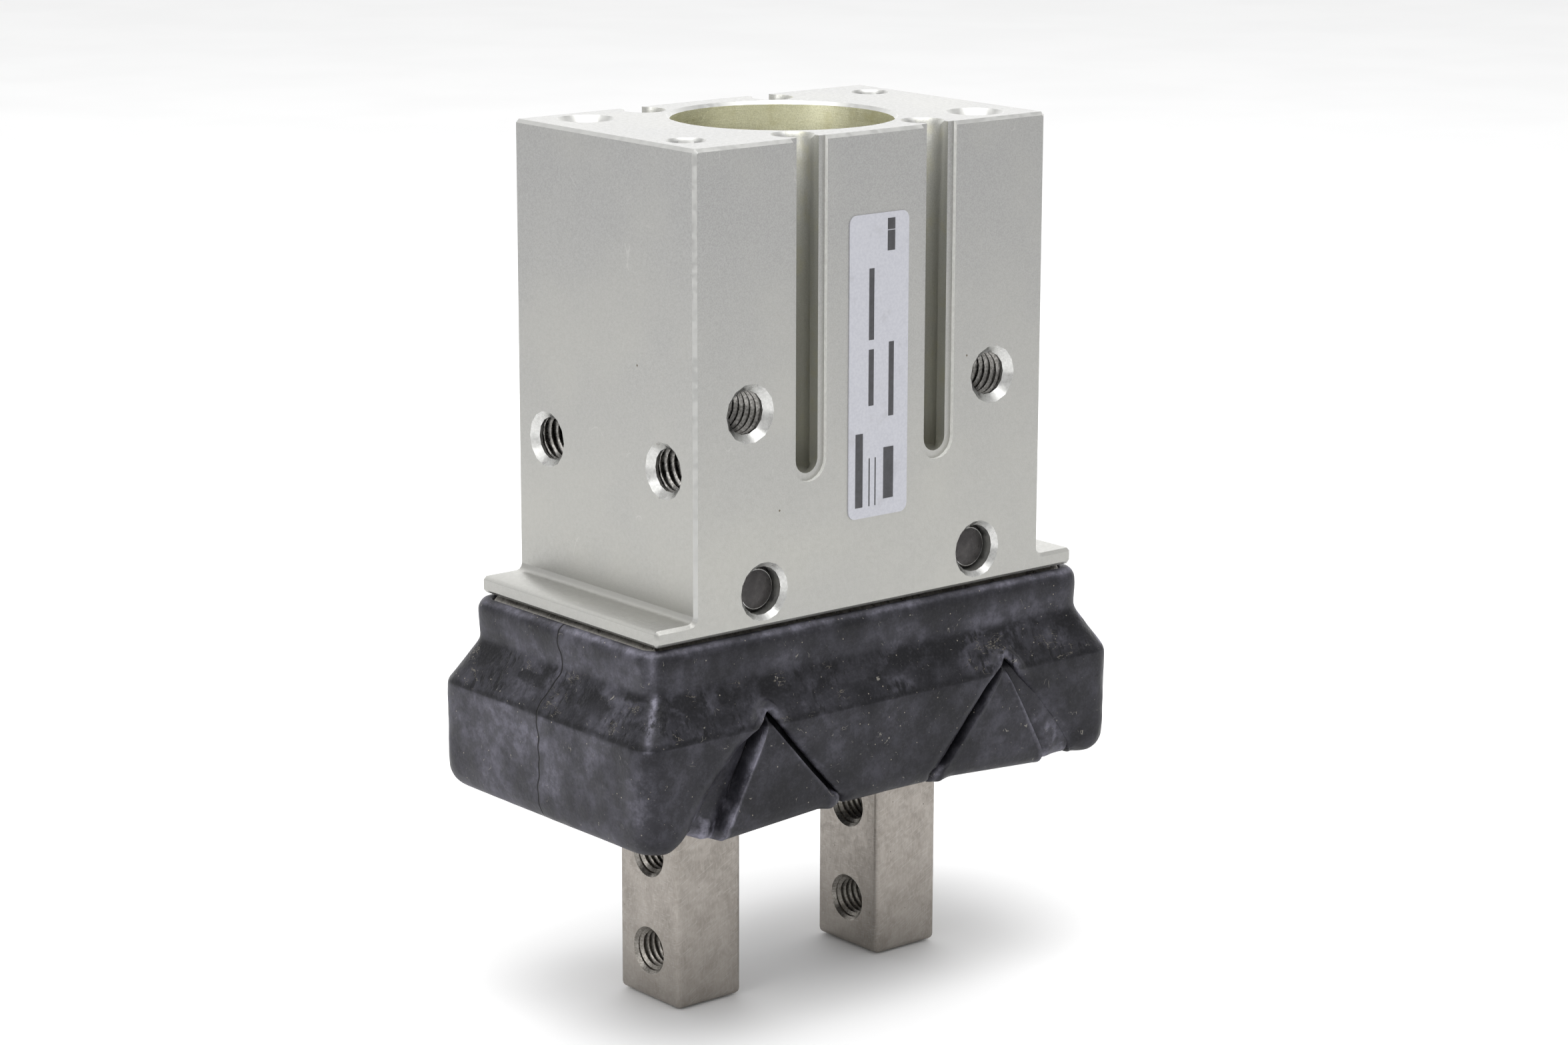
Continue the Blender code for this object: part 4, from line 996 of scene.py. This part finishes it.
# floor of the cover, with a window round each finger
FLOOR_TOP, FLOOR_BOTTOM = -20.3, -21.1
FLOOR_HX, FLOOR_HY = 33.2, 16.6
WINDOW_IN, WINDOW_OUT, WINDOW_HY = 6.2, 31.0, 13.4
floor_block = block((-FLOOR_HX, -FLOOR_HY, up(FLOOR_BOTTOM)), (FLOOR_HX, FLOOR_HY, up(FLOOR_TOP)), 0.3, 2)
windows = [
    block((x0, -WINDOW_HY, up(-24)), (x1, WINDOW_HY, up(-18)))
    for x0, x1 in ((-WINDOW_OUT, -WINDOW_IN), (WINDOW_IN, WINDOW_OUT))
]
floor_mesh = cut_with(floor_block, windows)
cover_floor = shown("cover_floor", smooth(floor_mesh), RUBBER)
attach(cover_floor, "housing")

# bellows between the floor and each finger's collar, in four mitred strips
COLLAR_HX, COLLAR_HY = 6.5, 7.35
WAVE_T = (0.0, 0.12, 0.3, 0.5, 0.68, 0.86, 1.0)
WAVE_H = (-20.7, -20.9, -22.3, -21.2, -21.5, -23.4, -23.2)


def sides_of(x_in, x_out, y):
    """The ends of each side of a rectangle, going round."""
    return {
        "outer": ((x_out, -y), (x_out, y)), "inner": ((x_in, y), (x_in, -y)),
        "front": ((x_in, -y), (x_out, -y)), "rear": ((x_out, y), (x_in, y)),
    }


def bellows(side, name):
    """Waves of rubber from the window's edge in to the collar's, in four strips round the finger."""
    across = np.linspace(0, 1, 25)
    t = np.linspace(0, 1, 41)
    height = np.interp(t, WAVE_T, WAVE_H)
    kernel = np.array([1, 2, 3, 2, 1]) / 9
    height = np.convolve(np.pad(height, 2, mode="edge"), kernel, mode="valid")
    at_window = sides_of(WINDOW_IN - 0.15, WINDOW_OUT + 0.15, WINDOW_HY + 0.15)
    at_collar = sides_of(FINGER_X - COLLAR_HX, FINGER_X + COLLAR_HX, COLLAR_HY)
    for strip, (w0, w1) in at_window.items():
        k0, k1 = at_collar[strip]
        grid = np.empty((len(t), len(across), 3))
        for i, s in enumerate(t):
            a = np.array(w0) * (1 - s) + np.array(k0) * s
            b = np.array(w1) * (1 - s) + np.array(k1) * s
            xy = a[None, :] * (1 - across[:, None]) + b[None, :] * across[:, None]
            grid[i, :, 0], grid[i, :, 1] = side * xy[:, 0], xy[:, 1]
            grid[i, :, 2] = up(height[i])
        thick = np.array([0.0, 0.0, 0.32])
        mesh = solid_sheet(f"cover_bellows_{name}_{strip}", grid - thick, grid + thick)
        obj = shown(f"cover_bellows_{name}_{strip}", mesh, RUBBER)
        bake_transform(obj)


def collar(side, name):
    """The rubber lip round a finger, a turned-over bead at its foot."""
    hx, hy = FINGER_HX + 0.2, FINGER_HY + 0.2
    # (distance from the finger's side, height), round the section
    profile = (
        (0.0, -21.3), (0.9, -21.2), (1.5, -21.7), (1.55, -23.2), (1.45, -24.3), (1.5, -25.1), (1.2, -25.65),
        (0.6, -25.8), (0.15, -25.5), (0.0, -24.9),
    )
    sections = [(hx + d, hy + d, 0.45 + d * 0.9, h) for d, h in profile]
    mesh = tube_mesh(sections, 5)
    mesh.transform(Matrix.Translation((side * FINGER_X * MM, 0, 0)))
    obj = shown(f"cover_lip_{name}", smooth(mesh, 50), RUBBER)
    sub = obj.modifiers.new("Soft", "SUBSURF")
    sub.levels = sub.render_levels = 1
    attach(obj, name + "_finger")
    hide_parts(f"cover_collar_{name}")


for side, name in SIDES:
    bellows(side, name)
    collar(side, name)

# --- floor, light and camera ---
ROOM_LIGHT, BACK_LIGHT = 0.67, 1.9
lo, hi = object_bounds()
ground = Look("studio_floor", roughness=0.75)
ground.colour(ground.mix(ground.span(ground.noise(60.0, 2), 0.3, 0.7), (0.86, 0.86, 0.86), (0.88, 0.88, 0.88)))
# seen from below, the floor is clear, so that the underside can be looked at
below = ground.node("ShaderNodeNewGeometry").outputs["Backfacing"]
glass = ground.node("ShaderNodeBsdfTransparent").outputs[0]
clear = ground.node("ShaderNodeMixShader", {0: below, 1: ground.bsdf.outputs[0], 2: glass}).outputs[0]
ground.tree.links.new(clear, ground.tree.nodes["Material Output"].inputs[0])
bm = bmesh.new()
bmesh.ops.create_grid(bm, x_segments=2, y_segments=2, size=3.0)
floor = shown("studio_floor", finished(bm, "studio_floor"), ground.mat)
floor.location.z = lo.z - 0.0002

world = bpy.data.worlds.new("studio")
bpy.context.scene.world = world
world.use_nodes = True
tree = world.node_tree
tree.nodes.clear()


# an even white room, brighter behind the object and overhead, dimmer in front
BEHIND = (0.64, 0.76, 0.10)
direction = add_node(tree, "ShaderNodeTexCoord").outputs["Generated"]
facing = add_node(tree, "ShaderNodeVectorMath", {0: direction, 1: BEHIND}, operation="DOT_PRODUCT").outputs["Value"]
brightness = {0: facing, 1: 0.35, 2: 0.98, 3: ROOM_LIGHT, 4: BACK_LIGHT}
glow = add_node(tree, "ShaderNodeMapRange", brightness, interpolation_type="SMOOTHSTEP").outputs[0]
WHITE = (1.0, 1.0, 1.0, 1.0)
soft = add_node(tree, "ShaderNodeBackground", {0: WHITE, 1: glow}).outputs[0]
white = add_node(tree, "ShaderNodeBackground", {0: WHITE, 1: 1.0}).outputs[0]
seen = add_node(tree, "ShaderNodeLightPath").outputs["Is Camera Ray"]
both = add_node(tree, "ShaderNodeMixShader", {0: seen, 1: soft, 2: white}).outputs[0]
add_node(tree, "ShaderNodeOutputWorld", {0: both})


def softbox(name, at, size, power, target=(0, 0, -0.05)):
    """A rectangular area light that faces the target; lengths in metres, power in watts."""
    light = bpy.data.lights.new(name, "AREA")
    light.shape, light.size, light.size_y, light.energy = "RECTANGLE", *size, power
    obj = bpy.data.objects.new(name, light)
    bpy.context.scene.collection.objects.link(obj)
    obj.location = at
    obj.rotation_mode = "QUATERNION"
    obj.rotation_quaternion = (Vector(target) - Vector(at)).to_track_quat("-Z", "Y")


softbox("softbox_top", (-0.1, -0.1, 0.8), (0.9, 0.7), 7.0)
softbox("softbox_left", (-0.8, -0.1, 0.30), (0.5, 0.6), 1.7)
softbox("softbox_front", (0.25, -0.9, 0.30), (0.5, 0.5), 0.3)

LENS, SENSOR = 89.37, 36.0
# where the camera stands, from the middle of the flange's underside: back, to its right and up, in mm
CAMERA_BACK, CAMERA_RIGHT, CAMERA_UP = 460.70, 0.328, 6.494
AZIMUTH, ELEVATION, ROLL = math.radians(-39.559), math.radians(13.347), math.radians(0.138)
camera = bpy.data.cameras.new("camera")
camera.sensor_fit, camera.sensor_width, camera.lens = "HORIZONTAL", SENSOR, LENS
camera.clip_start, camera.clip_end = 0.01, 20.0
view = bpy.data.objects.new("camera", camera)
bpy.context.scene.collection.objects.link(view)
level = math.cos(ELEVATION)
back = Vector((math.sin(AZIMUTH) * level, -math.cos(AZIMUTH) * level, math.sin(ELEVATION)))
right = Vector((math.cos(AZIMUTH), math.sin(AZIMUTH), 0))
upward = back.cross(right)
turn = Matrix((right, upward, back)).transposed().to_4x4() @ Matrix.Rotation(ROLL, 4, "Z")
where = back * CAMERA_BACK + right * CAMERA_RIGHT + upward * CAMERA_UP + Vector((0, 0, FLANGE_Z))
view.matrix_world = Matrix.Translation(where * MM) @ turn
bpy.context.scene.camera = view
bpy.context.scene.view_settings.view_transform = "Standard"
